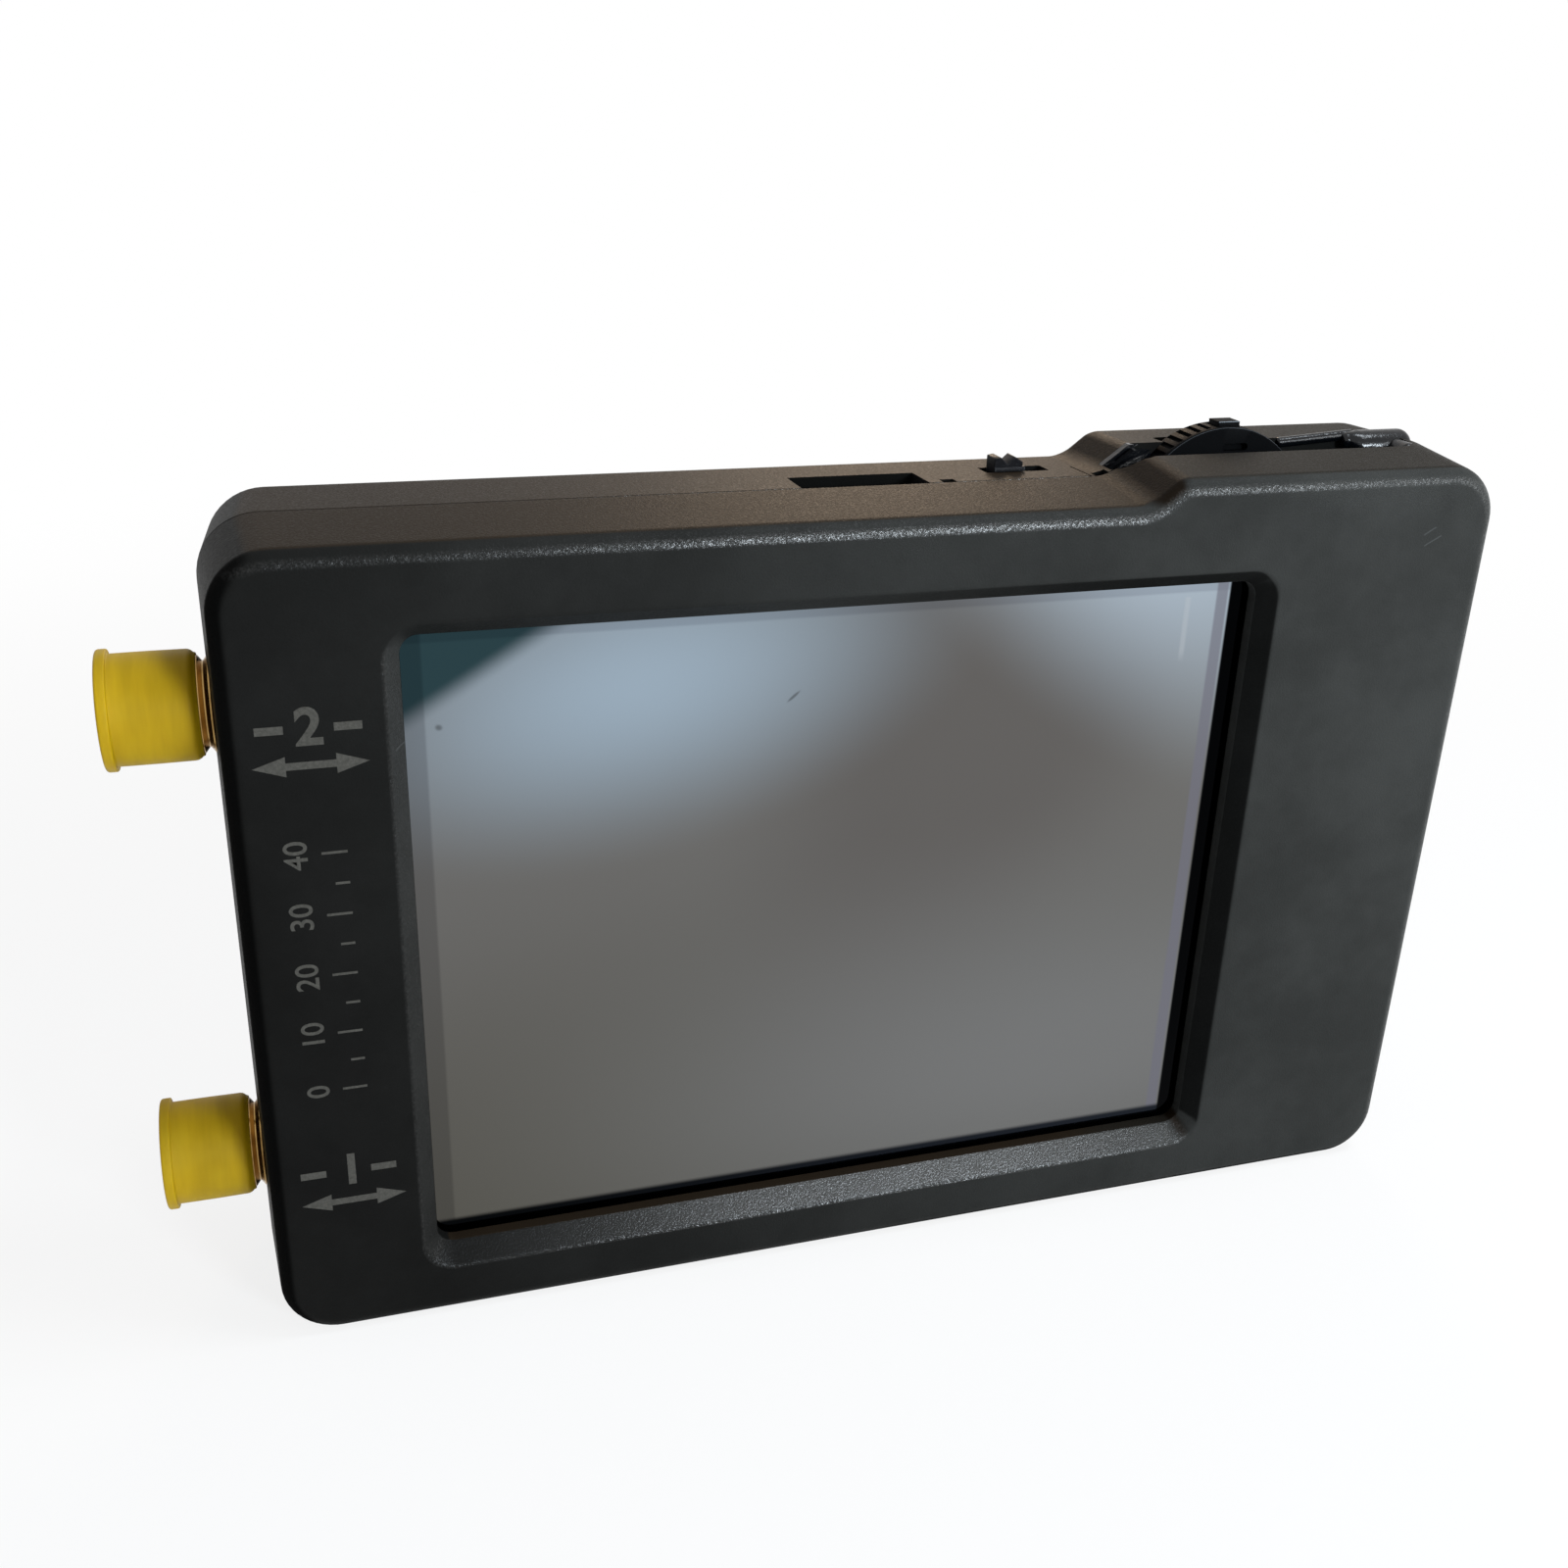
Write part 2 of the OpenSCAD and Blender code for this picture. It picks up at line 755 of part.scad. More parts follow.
// Fixed frame of the jog switch: a base on the board, two rails and a back plate
module jog_body() {
    plate_y = carrier_y + carrier_t + 0.1;
    plate_t = 0.7;
    half = carrier_w / 2 + rail_gap;
    color([0.12, 0.12, 0.13]) place() {
        block(
            [jog_x - half - rail_w, split_y, jog_base_top - jog_base_h],
            [jog_x + half + rail_w, plate_y + plate_t, jog_base_top]
        );
        block(
            [jog_x - half - rail_w, plate_y, jog_base_top - eps],
            [jog_x + half + rail_w, plate_y + plate_t, carrier_top]
        );
        for (x = [jog_x - half - rail_w, jog_x + half])
            block([x, carrier_y, jog_base_top - eps], [x + rail_w, plate_y + eps, carrier_top]);
    }
}

// Sliding carrier that holds the jog wheel's axle between the rails
module jog_carrier() {
    color([0.85, 0.84, 0.8]) place() difference() {
        block(
            [jog_x - carrier_w / 2, carrier_y, carrier_low],
            [jog_x + carrier_w / 2, carrier_y + carrier_t, carrier_top]
        );
        rod_y([jog_x, carrier_y - 1, jog_z], axle_r, carrier_t + 2);
    }
}

// Steel axle with a head in front of the wheel
module jog_axle() {
    head_t = 0.25;
    head_r = 1.7;
    head_gap = 0.05;
    color([0.7, 0.7, 0.72]) place() {
        rod_y([jog_x, jog_front - head_gap - head_t, jog_z], head_r, head_t);
        rod_y(
            [jog_x, jog_front - head_gap - eps, jog_z],
            axle_r, carrier_y + carrier_t - jog_front + head_gap + eps
        );
    }
}

// Small coil spring under the carrier, drawn as its sleeve
module jog_spring() {
    color([0.7, 0.7, 0.72]) place()
        translate([jog_x, carrier_y + carrier_t / 2, jog_base_top]) difference() {
            cylinder(r = spring_r, h = carrier_low - jog_base_top);
            translate([0, 0, -1])
                cylinder(r = spring_r - spring_wall, h = carrier_low - jog_base_top + 2);
        }
}

// Jog wheel, with a knurled rim, a thumb bump on top and a small dimple in its face
module jog_wheel() {
    bump_w = 2.1;
    dimple_r = 0.75;
    core_r = jog_r - tooth_depth;
    tooth_w = 2 * PI * jog_r / jog_teeth / 2;
    color([0.11, 0.11, 0.115]) place() difference() {
        union() {
            rod_y([jog_x, jog_front, jog_z], core_r, jog_t);
            translate([jog_x, jog_front + 0.3, jog_z])
                for (i = [0 : jog_teeth - 1])
                    rotate([0, i * 360 / jog_teeth, 0])
                        translate([-tooth_w / 2, 0, core_r - 0.5])
                            cube([tooth_w, jog_t - 0.3, tooth_depth + 0.5]);
            translate([jog_x - bump_w / 2, jog_front, jog_z + core_r - 0.6])
                cube([bump_w, jog_t, tooth_depth + jog_bump + 0.6]);
        }
        rod_y([jog_x, jog_front - 1, jog_z], axle_r + axle_gap, jog_t + 2);
        rod_y([jog_x + 0.2, jog_front - 1, jog_z + jog_r - 1.5], dimple_r, 1.6);
    }
}

// Coaxial port: flange inside the wall, threaded barrel outside and four board legs
module port_body(z) {
    leg_len = 4;
    leg_t = 0.8;
    leg_w = 1;
    groove_step = 0.706;
    groove_d = 0.18;
    flange_x = board_x - port_flange_t;
    color([0.83, 0.66, 0.3]) place() difference() {
        union() {
            block(
                [flange_x, port_y - port_flange / 2, z - port_flange / 2],
                [board_x, port_y + port_flange / 2, z + port_flange / 2]
            );
            rod_x([-barrel_out, port_y, z], thread_r, barrel_out + flange_x + eps);
            for (side = [-1, 1]) {
                leg_z = z + side * (port_flange / 2 - leg_w / 2) - leg_w / 2;
                block(
                    [board_x - eps, split_y, leg_z],
                    [board_x + leg_len, split_y + leg_t, leg_z + leg_w]
                );
                block(
                    [board_x - eps, board_y - leg_t, leg_z],
                    [board_x + leg_len, board_y, leg_z + leg_w]
                );
            }
        }
        rod_x([-barrel_out - 1, port_y, z], port_bore_r, barrel_out + board_x + 1 - 0.3);
        rod_x([board_x - 1, port_y, z], contact_r + 0.1, 2);
        for (i = [0 : floor((barrel_out - 0.9) / groove_step)])
            translate([-barrel_out + 0.5 + i * groove_step, port_y, z]) rotate([0, 90, 0])
                difference() {
                    cylinder(r = thread_r + 1, h = groove_step / 2);
                    translate([0, 0, -1]) cylinder(r = thread_r - groove_d, h = groove_step / 2 + 2);
                }
    }
}

// White insulator inside a port, with a hole for the contact
module port_insulator(z) {
    mouth = 1.4;
    color([0.93, 0.93, 0.9]) place() difference() {
        rod_x([-barrel_out + mouth, port_y, z], port_bore_r - insulator_gap,
            barrel_out - mouth + board_x - 0.32);
        rod_x([-barrel_out - 1, port_y, z], contact_r + insulator_gap, barrel_out + board_x + 2);
    }
}

// Hollow centre contact of a port, with a tail that lies on the board
module port_contact(z) {
    tail = 1.6;
    socket_len = 3.2;
    color([0.85, 0.68, 0.32]) place() difference() {
        union() {
            rod_x([-barrel_out + 0.9, port_y, z], contact_r, barrel_out - 0.9 + board_x - 0.32);
            block(
                [board_x - 0.6, split_y, z - contact_r / 2],
                [board_x + tail, split_y + contact_r / 2, z + contact_r / 2]
            );
        }
        rod_x([-barrel_out - 1, port_y, z], contact_hole_r, 1 + 0.9 + socket_len);
    }
}

// Push-on dust cap, closed and flanged at its outer end
module dust_cap(z) {
    rim_t = 0.6;
    end_t = 0.5;
    mouth_round = 0.6;
    body_len = cap_out - cap_gap;
    bore_r = thread_r + cap_clear;
    cap_r = bore_r + cap_wall;
    cap_rim_r = cap_r + cap_rim;
    profile = [
        [0, 0], [cap_rim_r, 0], [cap_rim_r, rim_t], [cap_r, rim_t],
        [cap_r, body_len - mouth_round],
        [cap_r - cap_wall * 0.25, body_len - mouth_round * 0.4],
        [cap_r - cap_wall * 0.65, body_len], [bore_r, body_len],
        [bore_r, end_t], [0, end_t]
    ];
    color([0.78, 0.65, 0.08]) place() translate([-cap_out, port_y, z]) rotate([0, 90, 0])
        rotate_extrude() polygon(profile);
}

module port_high_body() {
    port_body(port_high_z);
}

module port_low_body() {
    port_body(port_low_z);
}

module port_high_insulator() {
    port_insulator(port_high_z);
}

module port_low_insulator() {
    port_insulator(port_low_z);
}

module port_high_contact() {
    port_contact(port_high_z);
}

module port_low_contact() {
    port_contact(port_low_z);
}

module dust_cap_high() {
    dust_cap(port_high_z);
}

module dust_cap_low() {
    dust_cap(port_low_z);
}

// Lithium pouch battery with a taped end
module battery() {
    seal = 1.5;
    color([0.7, 0.72, 0.74]) place() {
        block(
            [battery_x, battery_y, battery_z],
            [battery_x + battery_w - seal, battery_y + battery_t, battery_z + battery_h]
        );
        block(
            [battery_x + battery_w - seal - eps, battery_y + 0.5, battery_z + 1],
            [battery_x + battery_w, battery_y + battery_t - 0.5, battery_z + battery_h - 1]
        );
    }
}

// Foam tape that holds the battery to the back shell
module battery_pad() {
    inset = 4;
    color([0.2, 0.2, 0.2]) place()
        block(
            [battery_x + inset, battery_y + battery_t, battery_z + inset],
            [battery_x + battery_w - inset, inner_back, battery_z + battery_h - inset]
        );
}

// Two short leads that step down from the battery to the plug
module battery_leads() {
    y0 = battery_y + battery_t / 2;
    x0 = battery_x + battery_w;
    run = 0.6;
    color([0.6, 0.05, 0.04]) place()
        for (z = lead_z) {
            translate([x0, y0 - lead_bend, z]) rotate([0, 0, 0])
                rotate_extrude(angle = 90) translate([lead_bend, 0]) circle(lead_r);
            translate([x0 + 2 * lead_bend, y0 - lead_bend, z]) rotate([0, 0, 180])
                rotate_extrude(angle = 90) translate([lead_bend, 0]) circle(lead_r);
            rod_x([x0 + 2 * lead_bend, y0 - 2 * lead_bend, z], lead_r, run);
        }
}

// Plug on the battery leads, pushed into its socket
module battery_plug() {
    color([0.9, 0.89, 0.84]) place()
        block(
            [plug_x, split_y + 0.5, lead_z[0] - 1.2],
            [plug_x + plug_len, split_y + 2.5, lead_z[1] + 1.2]
        );
}

// Socket on the board that holds the battery plug
module battery_socket() {
    side = 0.5;
    color([0.93, 0.92, 0.88]) place() difference() {
        block(
            [plug_x + 0.8, split_y, lead_z[0] - 1.2 - side],
            [plug_x + plug_len + 1, split_y + 3, lead_z[1] + 1.2 + side]
        );
        block(
            [plug_x - 1, split_y + 0.5, lead_z[0] - 1.2],
            [plug_x + plug_len, split_y + 2.5, lead_z[1] + 1.2]
        );
    }
}

// Four screws that clamp the back shell, the board and the front shell together
module case_screws() {
    tip_y = front_wall - 0.4;
    slot_w_cross = 0.45;
    slot_len = 2.2;
    head_y = case_t - screw_head_in - screw_head_t;
    color([0.25, 0.25, 0.27]) place()
        for (p = screw_places) difference() {
            union() {
                rod_y([p[0], tip_y, p[1]], pilot_r, board_y - tip_y + eps);
                rod_y([p[0], board_y, p[1]], screw_r, head_y - board_y + eps);
                rod_y([p[0], head_y, p[1]], screw_head_r, screw_head_t);
            }
            for (turn = [0, 90])
                translate([p[0], head_y + screw_head_t - 0.6, p[1]]) rotate([0, turn, 0])
                    translate([-slot_len / 2, 0, -slot_w_cross / 2])
                        cube([slot_len, 1, slot_w_cross]);
        }
}

front_shell();
back_shell();
channel_rim();
touch_panel();
touch_tape();
display_module();
display_tape();
display_flex();
main_board();
rf_shield_high();
rf_shield_low();
processor();
signal_chips();
crystals();
small_parts();
usb_shell();
usb_tongue();
switch_body();
switch_knob();
jog_body();
jog_carrier();
jog_axle();
jog_spring();
jog_wheel();
port_high_body();
port_high_insulator();
port_high_contact();
port_low_body();
port_low_insulator();
port_low_contact();
dust_cap_high();
dust_cap_low();
battery();
battery_pad();
battery_leads();
battery_plug();
battery_socket();
case_screws();
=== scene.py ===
# %% [markdown]
# # A handheld spectrum analyzer
# This notebook dresses a finished engineering model of a small radio instrument.
# The real object is a slim black plastic case in two halves. A touch display sits in a
# bevelled window, two capped coaxial ports stand out on the left, and a charging
# socket, a slide switch and a jog wheel share the top edge.
# The engineering model gives every size. Here each visible piece is modelled again
# with softer edges and finer parts, and every surface gets its own finish.

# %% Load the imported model
import json
import math

import bmesh
import bpy
from mathutils import Matrix, Vector


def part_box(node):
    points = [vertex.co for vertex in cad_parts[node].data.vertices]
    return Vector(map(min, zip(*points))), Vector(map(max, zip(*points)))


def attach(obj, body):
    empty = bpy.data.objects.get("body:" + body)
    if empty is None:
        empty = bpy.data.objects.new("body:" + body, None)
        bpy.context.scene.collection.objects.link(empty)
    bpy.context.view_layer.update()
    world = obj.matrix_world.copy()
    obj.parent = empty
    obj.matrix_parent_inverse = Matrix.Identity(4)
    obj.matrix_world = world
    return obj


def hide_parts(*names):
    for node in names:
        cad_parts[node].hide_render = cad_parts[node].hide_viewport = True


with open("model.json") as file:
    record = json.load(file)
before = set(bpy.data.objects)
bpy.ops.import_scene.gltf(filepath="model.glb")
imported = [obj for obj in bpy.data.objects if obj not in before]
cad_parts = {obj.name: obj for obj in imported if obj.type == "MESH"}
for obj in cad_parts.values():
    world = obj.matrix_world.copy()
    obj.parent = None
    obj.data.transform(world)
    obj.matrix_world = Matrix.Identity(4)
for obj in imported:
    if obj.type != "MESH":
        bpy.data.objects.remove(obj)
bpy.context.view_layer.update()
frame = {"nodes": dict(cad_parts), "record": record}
nodes = frame["nodes"]
scene = bpy.context.scene

# %% [markdown]
# ## One set of sizes
# Lengths are written in millimetres from the case's left, front, bottom corner, as on a
# drawing. The model itself is in metres and its origin is under the middle of the
# object, so one small function moves a point from the drawing to the model. X, Y and Z
# are the places of the three axes in a point: right, away from the viewer, and up.

# %% Sizes of the case
X, Y, Z = 0, 1, 2
MM = 0.001
CASE_W, CASE_H, CASE_T = 91.1, 58.2, 16.2
HUMP_RISE, HUMP_SPAN, HUMP_RUN = 1.8, 28.4, 2.3
HUMP_H = CASE_H + HUMP_RISE
FOOT_X = CASE_W - HUMP_SPAN
CREST_X = FOOT_X + HUMP_RUN
SPLIT_Y = 7.9
FLARE, EDGE_R, CORNER_R = 0.55, 1.2, 4.05
WALL = 2.15
CAP_OUT = 6.6
MIDDLE_X = (CASE_W - CAP_OUT) / 2
SLOPE = math.atan2(HUMP_RISE, HUMP_RUN)
SAME_PLACE = 0.004


def at(x, y, z):
    """Point of the drawing, in millimetres, as a point of the model, in metres."""
    return Vector(((x - MIDDLE_X) * MM, (y - CASE_T / 2) * MM, z * MM))


def drawn(co):
    """The other way round: a point of the model as drawing millimetres."""
    return co.x / MM + MIDDLE_X, co.y / MM + CASE_T / 2, co.z / MM


# %% [markdown]
# ## The camera
# The photograph was taken from close by, a little left of the middle and above it, so
# the near left side looks larger than the right. The lens angle and the three axes of
# the view were solved from the case's straight edges.

# %% Camera
VIEW_RIGHT = Vector((0.9554308, -0.2936961, 0.0299085))
VIEW_DOWN = Vector((-0.0910479, -0.3895225, -0.9165056))
VIEW_AHEAD = Vector((0.2808241, 0.8729346, -0.3989023))
SENSOR, FOCAL_SHARE = 36, 1684.818 / 1600
CAMERA_AT = at(4.923, -97.842, 84.572)

lens = bpy.data.cameras.new("camera")
lens.sensor_width = SENSOR
lens.lens = SENSOR * FOCAL_SHARE
lens.clip_start = 0.005
lens.clip_end = 20
camera = bpy.data.objects.new("camera", lens)
scene.collection.objects.link(camera)
turn = Matrix((VIEW_RIGHT, -VIEW_DOWN, -VIEW_AHEAD)).transposed()
camera.matrix_world = Matrix.Translation(CAMERA_AT) @ turn.to_4x4()
scene.camera = camera
scene.view_settings.view_transform = "Standard"

# %% [markdown]
# ## Working by hand, in code
# Every new piece starts as a primitive and is shaped in edit mode. These helpers do
# what the mouse does: add a block, pick edges or faces by where they are, and cut one
# piece with another.


# %% Helpers: selecting
def clear_selection():
    if bpy.context.object and bpy.context.object.mode != "OBJECT":
        bpy.ops.object.mode_set(mode="OBJECT")
    bpy.ops.object.select_all(action="DESELECT")


def take(obj):
    """Makes obj the one selected, active object."""
    clear_selection()
    obj.select_set(True)
    bpy.context.view_layer.objects.active = obj
    return obj


def settle(obj, name):
    """Names a new piece and moves its place, turn and scale into its mesh."""
    obj.name = name
    obj.data.name = name
    take(obj)
    bpy.ops.object.transform_apply(location=True, rotation=True, scale=True)
    return obj


def edit(obj):
    take(obj)
    bpy.ops.object.mode_set(mode="EDIT")


def leave():
    bpy.ops.object.mode_set(mode="OBJECT")


def select_all():
    bpy.ops.mesh.select_all(action="SELECT")


def spot(part):
    """Middle of a vertex, edge or face in drawing millimetres."""
    if isinstance(part, bmesh.types.BMVert):
        return drawn(part.co)
    if isinstance(part, bmesh.types.BMEdge):
        return drawn((part.verts[0].co + part.verts[1].co) / 2)
    return drawn(part.calc_center_median())


def pick(obj, kind, test):
    """Selects the vertices, edges or faces that pass a test, in edit mode."""
    bpy.ops.mesh.select_all(action="DESELECT")
    bpy.ops.mesh.select_mode(type=kind)
    shape = bmesh.from_edit_mesh(obj.data)
    parts = {"VERT": shape.verts, "EDGE": shape.edges, "FACE": shape.faces}[kind]
    chosen = [p for p in parts if test(p)]
    for p in chosen:
        p.select_set(True)
    shape.select_flush_mode()
    bmesh.update_edit_mesh(obj.data)
    return len(chosen)


# %% Helpers: edges by their place
def lies_on(edge, axis, value):
    """True for an edge with both ends at one X, Y or Z of the drawing."""
    return all(abs(drawn(v.co)[axis] - value) < SAME_PLACE for v in edge.verts)


def on(axis, value):
    """Test for round_edges: the edge lies at one X, Y or Z."""
    return lambda edge: lies_on(edge, axis, value)


def spans(edge, axis, length):
    """True for an edge that runs further than a length along X, Y or Z."""
    ends = [drawn(v.co)[axis] for v in edge.verts]
    return abs(ends[0] - ends[1]) > length


# %% Helpers: adding and rounding
def add_block(name, low, high):
    clear_selection()
    a, b = at(*low), at(*high)
    bpy.ops.mesh.primitive_cube_add(size=1, location=(a + b) / 2)
    bpy.context.object.scale = b - a
    return settle(bpy.context.object, name)


def add_sheet(name, low, high):
    """Upright rectangle that faces the front, from one corner to the other."""
    clear_selection()
    a, b = at(*low), at(*high)
    bpy.ops.mesh.primitive_plane_add(size=1, location=(a + b) / 2, rotation=(math.pi / 2, 0, 0))
    bpy.context.object.scale = (b.x - a.x, b.z - a.z, 1)
    return settle(bpy.context.object, name)


def round_corners(obj, radius, segments, test):
    """Rounds the corners of a flat outline."""
    pick(obj, "VERT", test)
    bpy.ops.mesh.bevel(
        offset=radius * MM, segments=segments, affect="VERTICES", clamp_overlap=False
    )


def round_edges(obj, radius, segments, test, profile=0.5):
    picked = pick(obj, "EDGE", test)
    bpy.ops.mesh.bevel(
        offset=radius * MM, segments=segments, profile=profile, affect="EDGES", clamp_overlap=False
    )
    return picked


def soften(obj, *steps):
    """Rounds edges of a whole object; each step is a radius, segments and a test."""
    edit(obj)
    for step in steps:
        round_edges(obj, *step)
    leave()
    return obj


# %% Helpers: moving, extruding and closing
def stretch(factors, centre):
    """Scales what is selected about a point of the model."""
    bpy.ops.transform.resize(value=factors, center_override=centre)


def split(axis, place):
    """Cuts every face by a plane across X or Y."""
    select_all()
    normal = (1, 0, 0) if axis == "X" else (0, 1, 0)
    bpy.ops.mesh.bisect(plane_co=at(place, place, 0), plane_no=normal)


def push(x=0, y=0, z=0):
    """Extrudes what is selected by a step in millimetres."""
    bpy.ops.mesh.extrude_region_move(TRANSFORM_OT_translate={"value": (x * MM, y * MM, z * MM)})


def shift(x=0, y=0, z=0):
    """Moves what is selected by a step in millimetres."""
    bpy.ops.transform.translate(value=(x * MM, y * MM, z * MM))


def face_out():
    """Merges points that coincide and turns all faces outwards."""
    select_all()
    bpy.ops.mesh.remove_doubles(threshold=1e-7)
    bpy.ops.mesh.normals_make_consistent(inside=False)


def cap_open_end(obj):
    """Closes the open edges with a face."""
    pick(obj, "EDGE", lambda e: e.is_boundary)
    bpy.ops.mesh.edge_face_add()
    face_out()


# %% Helpers: whole pieces
def modify(obj, kind, **values):
    """Adds a modifier and applies it."""
    modifier = obj.modifiers.new(kind.lower(), kind)
    for key, value in values.items():
        setattr(modifier, key, value)
    take(obj)
    bpy.ops.object.modifier_apply(modifier=modifier.name)


def cut(obj, *cutters, operation="DIFFERENCE"):
    """Cuts pieces out of obj, or merges them into it, and throws them away."""
    for cutter in cutters:
        modify(obj, "BOOLEAN", object=cutter, operation=operation, solver="EXACT")
        bpy.data.objects.remove(cutter)


def join(main, *others):
    """Makes the others part of main."""
    take(main)
    for other in others:
        other.select_set(True)
    bpy.ops.object.join()
    return main


def smooth(obj, degrees=32):
    """Smooth shading across soft edges, with flat faces kept flat; prints what it got."""
    take(obj)
    bpy.ops.object.shade_smooth_by_angle(angle=math.radians(degrees))
    modify(obj, "WEIGHTED_NORMAL", keep_sharp=True, weight=80)
    print(obj.name, "faces", len(obj.data.polygons))
    return obj


# %% Helper: a line of points
def trace(place, points):
    """Chain of edges through points given as (x, z) from a place.

    It is made by moving and extruding the one vertex that is left of a primitive.
    """
    clear_selection()
    bpy.ops.mesh.primitive_plane_add(size=0.001, location=place)
    obj = bpy.context.object
    edit(obj)
    bpy.ops.mesh.select_mode(type="VERT")
    select_all()
    bpy.ops.mesh.merge(type="CENTER")
    shift(x=points[0][0], z=points[0][1])
    for last, here in zip(points, points[1:]):
        push(x=here[0] - last[0], z=here[1] - last[1])
    select_all()
    return obj


# %% [markdown]
# ## The two halves of the case
# A moulded case leans inwards from its parting line so that it leaves the mould, and
# its faces end in a soft rim. Both halves are made the same way: a flat sheet gets the
# outline, with round corners and the step up to the hump, then it is extruded to the
# face, drawn in a little and bevelled. The inside is cut out afterwards, so the wall
# keeps an even thickness where a slot shows it.


# %% Outline and slab
def case_outline(name, y, side, low):
    """Flat case outline at depth y, drawn in by side, and by low at the underside."""
    bend = math.tan(SLOPE / 2)
    foot, crest = FOOT_X + side * bend, CREST_X + side * bend
    top = HUMP_H - side
    obj = add_sheet(name, (side, y, low), (CASE_W - side, y, top))
    edit(obj)
    for x in (foot, crest):
        split("X", x)
    pick(obj, "VERT", lambda v: spot(v)[X] < foot + 0.01 and spot(v)[Z] > top - 0.01)
    shift(z=-HUMP_RISE)
    select_all()
    bpy.ops.mesh.dissolve_faces()
    pick(obj, "VERT", lambda v: side + 1 < spot(v)[X] < CASE_W - 10 and spot(v)[Z] < low + 0.01)
    bpy.ops.mesh.dissolve_verts()

    def near(v, x, z):
        p = spot(v)
        return abs(p[X] - x) < 0.01 and abs(p[Z] - z) < 0.01

    round_corners(obj, max(1.8 - side, 0.3) * bend, 6, lambda v: near(v, crest, top))
    round_corners(obj, (3 + side) * bend, 8, lambda v: near(v, foot, top - HUMP_RISE))
    ends = [(side, low), (CASE_W - side, low), (CASE_W - side, top), (side, top - HUMP_RISE)]
    round_corners(obj, CORNER_R - side, 12, lambda v: any(near(v, x, z) for x, z in ends))
    leave()
    return obj


def case_slab(name, y_part, y_face, side=0.0, low=0.0, lean=0.0, lean_top=0.0):
    obj = case_outline(name, y_part, side, low)
    edit(obj)
    select_all()
    push(y=y_face - y_part)
    if lean:
        factors = ((CASE_W - 2 * lean) / CASE_W, 1, (HUMP_H - lean_top) / HUMP_H)
        stretch(factors, at(CASE_W / 2, y_face, 0))
    cap_open_end(obj)
    leave()
    print(name, "faces", len(obj.data.polygons))
    return obj


def half_case(name, y_part, y_face, lean_top):
    obj = case_slab(name, y_part, y_face, lean=FLARE, lean_top=lean_top)
    return soften(obj, (EDGE_R, 8, on(Y, y_face)), (0.1, 2, on(Y, y_part)))


SEAM = 0.03
FRONT_WALL, BACK_WALL, FLOOR_WALL = 2.2, 1.6, 1.6
front_cover = half_case("front_cover", SPLIT_Y - SEAM, 0, FLARE)
cut(front_cover, case_slab("cavity", SPLIT_Y + 1, FRONT_WALL, side=WALL, low=FLOOR_WALL))
back_cover = half_case("back_cover", SPLIT_Y, CASE_T, 0.2)
cut(back_cover, case_slab("cavity", SPLIT_Y - 1, CASE_T - BACK_WALL, side=WALL, low=FLOOR_WALL))

# %% [markdown]
# ## Window, slots and holes
# The window is a pocket with sloping sides. Its cutter is a rounded sheet that is inset
# while it sinks, which keeps the slope the same width all round and tightens the
# corners, as on a machined mould. The lower ledge lies a little higher than the rest.

# %% Window
WINDOW_X, WINDOW_Z, WINDOW_W, WINDOW_H = 10.5, 3.9, 62.6, 48.9
SLOPE_W, SLOPE_D, WINDOW_R = 1.1, 1.3, 2.3
LEDGE_RISE = 0.42


def window_cutter():
    ahead = 0.5
    spread = ahead * SLOPE_W / SLOPE_D
    obj = add_sheet(
        "window_cutter",
        (WINDOW_X - spread, -ahead, WINDOW_Z - spread),
        (WINDOW_X + WINDOW_W + spread, -ahead, WINDOW_Z + WINDOW_H + spread),
    )
    edit(obj)
    round_corners(obj, WINDOW_R + spread, 10, lambda v: True)
    select_all()
    bpy.ops.mesh.inset(thickness=(SLOPE_W + spread) * MM, depth=-(SLOPE_D + ahead) * MM)
    push(y=3)
    pick(obj, "VERT", lambda v: spot(v)[Y] > 1 and spot(v)[Z] < WINDOW_Z + 4)
    shift(z=LEDGE_RISE)
    cap_open_end(obj)
    leave()
    return obj


cut(front_cover, window_cutter())

# %% Places of the slots, the holes and the jog channel
PORT_Y = SPLIT_Y
PORT_Z = {"high": 45.8, "low": 11.9}
JOG_X = CASE_W - 18.55
CHANNEL_X = (FOOT_X + 0.3, CASE_W - 3.7)
CHANNEL_Y, LIP_Y, CHANNEL_LOW, ABOVE = (6.1, 11.9), 10.1, 54.6, 62
WHEEL_ROOM_X, BELOW_ROOM_X, HOLE_R = (66.9, 78.1), (64.9, 79.9), 3.375
USB_X, USB_W, USB_GAP = 44.2, 8.94, 0.23
SLOT_X, SLOT_W, SLOT_Y, SLOT_D = 54.25, 4.95, SPLIT_Y + 2.4, 1.75
SCREWS = [(x, z) for x in (5.8, CASE_W - 5.8) for z in (5.2, CASE_H - 5.2)]


# %% Bars and the channel's cutters
def round_bar(name, p, axis, radius, length, sides=64):
    """Straight round bar from the point p along X or Y."""
    clear_selection()
    start, turned = at(*p), (0, math.pi / 2, 0) if axis == "X" else (-math.pi / 2, 0, 0)
    step = Vector((1, 0, 0)) if axis == "X" else Vector((0, 1, 0))
    bpy.ops.mesh.primitive_cylinder_add(
        vertices=sides,
        radius=radius * MM,
        depth=length * MM,
        location=start + step * length * MM / 2,
        rotation=turned,
    )
    return settle(bpy.context.object, name)


def upright_at(axis, value):
    """Test for the tall edges of a cutter that lie at one X or Y."""
    return lambda edge: spans(edge, Z, 3) and lies_on(edge, axis, value)


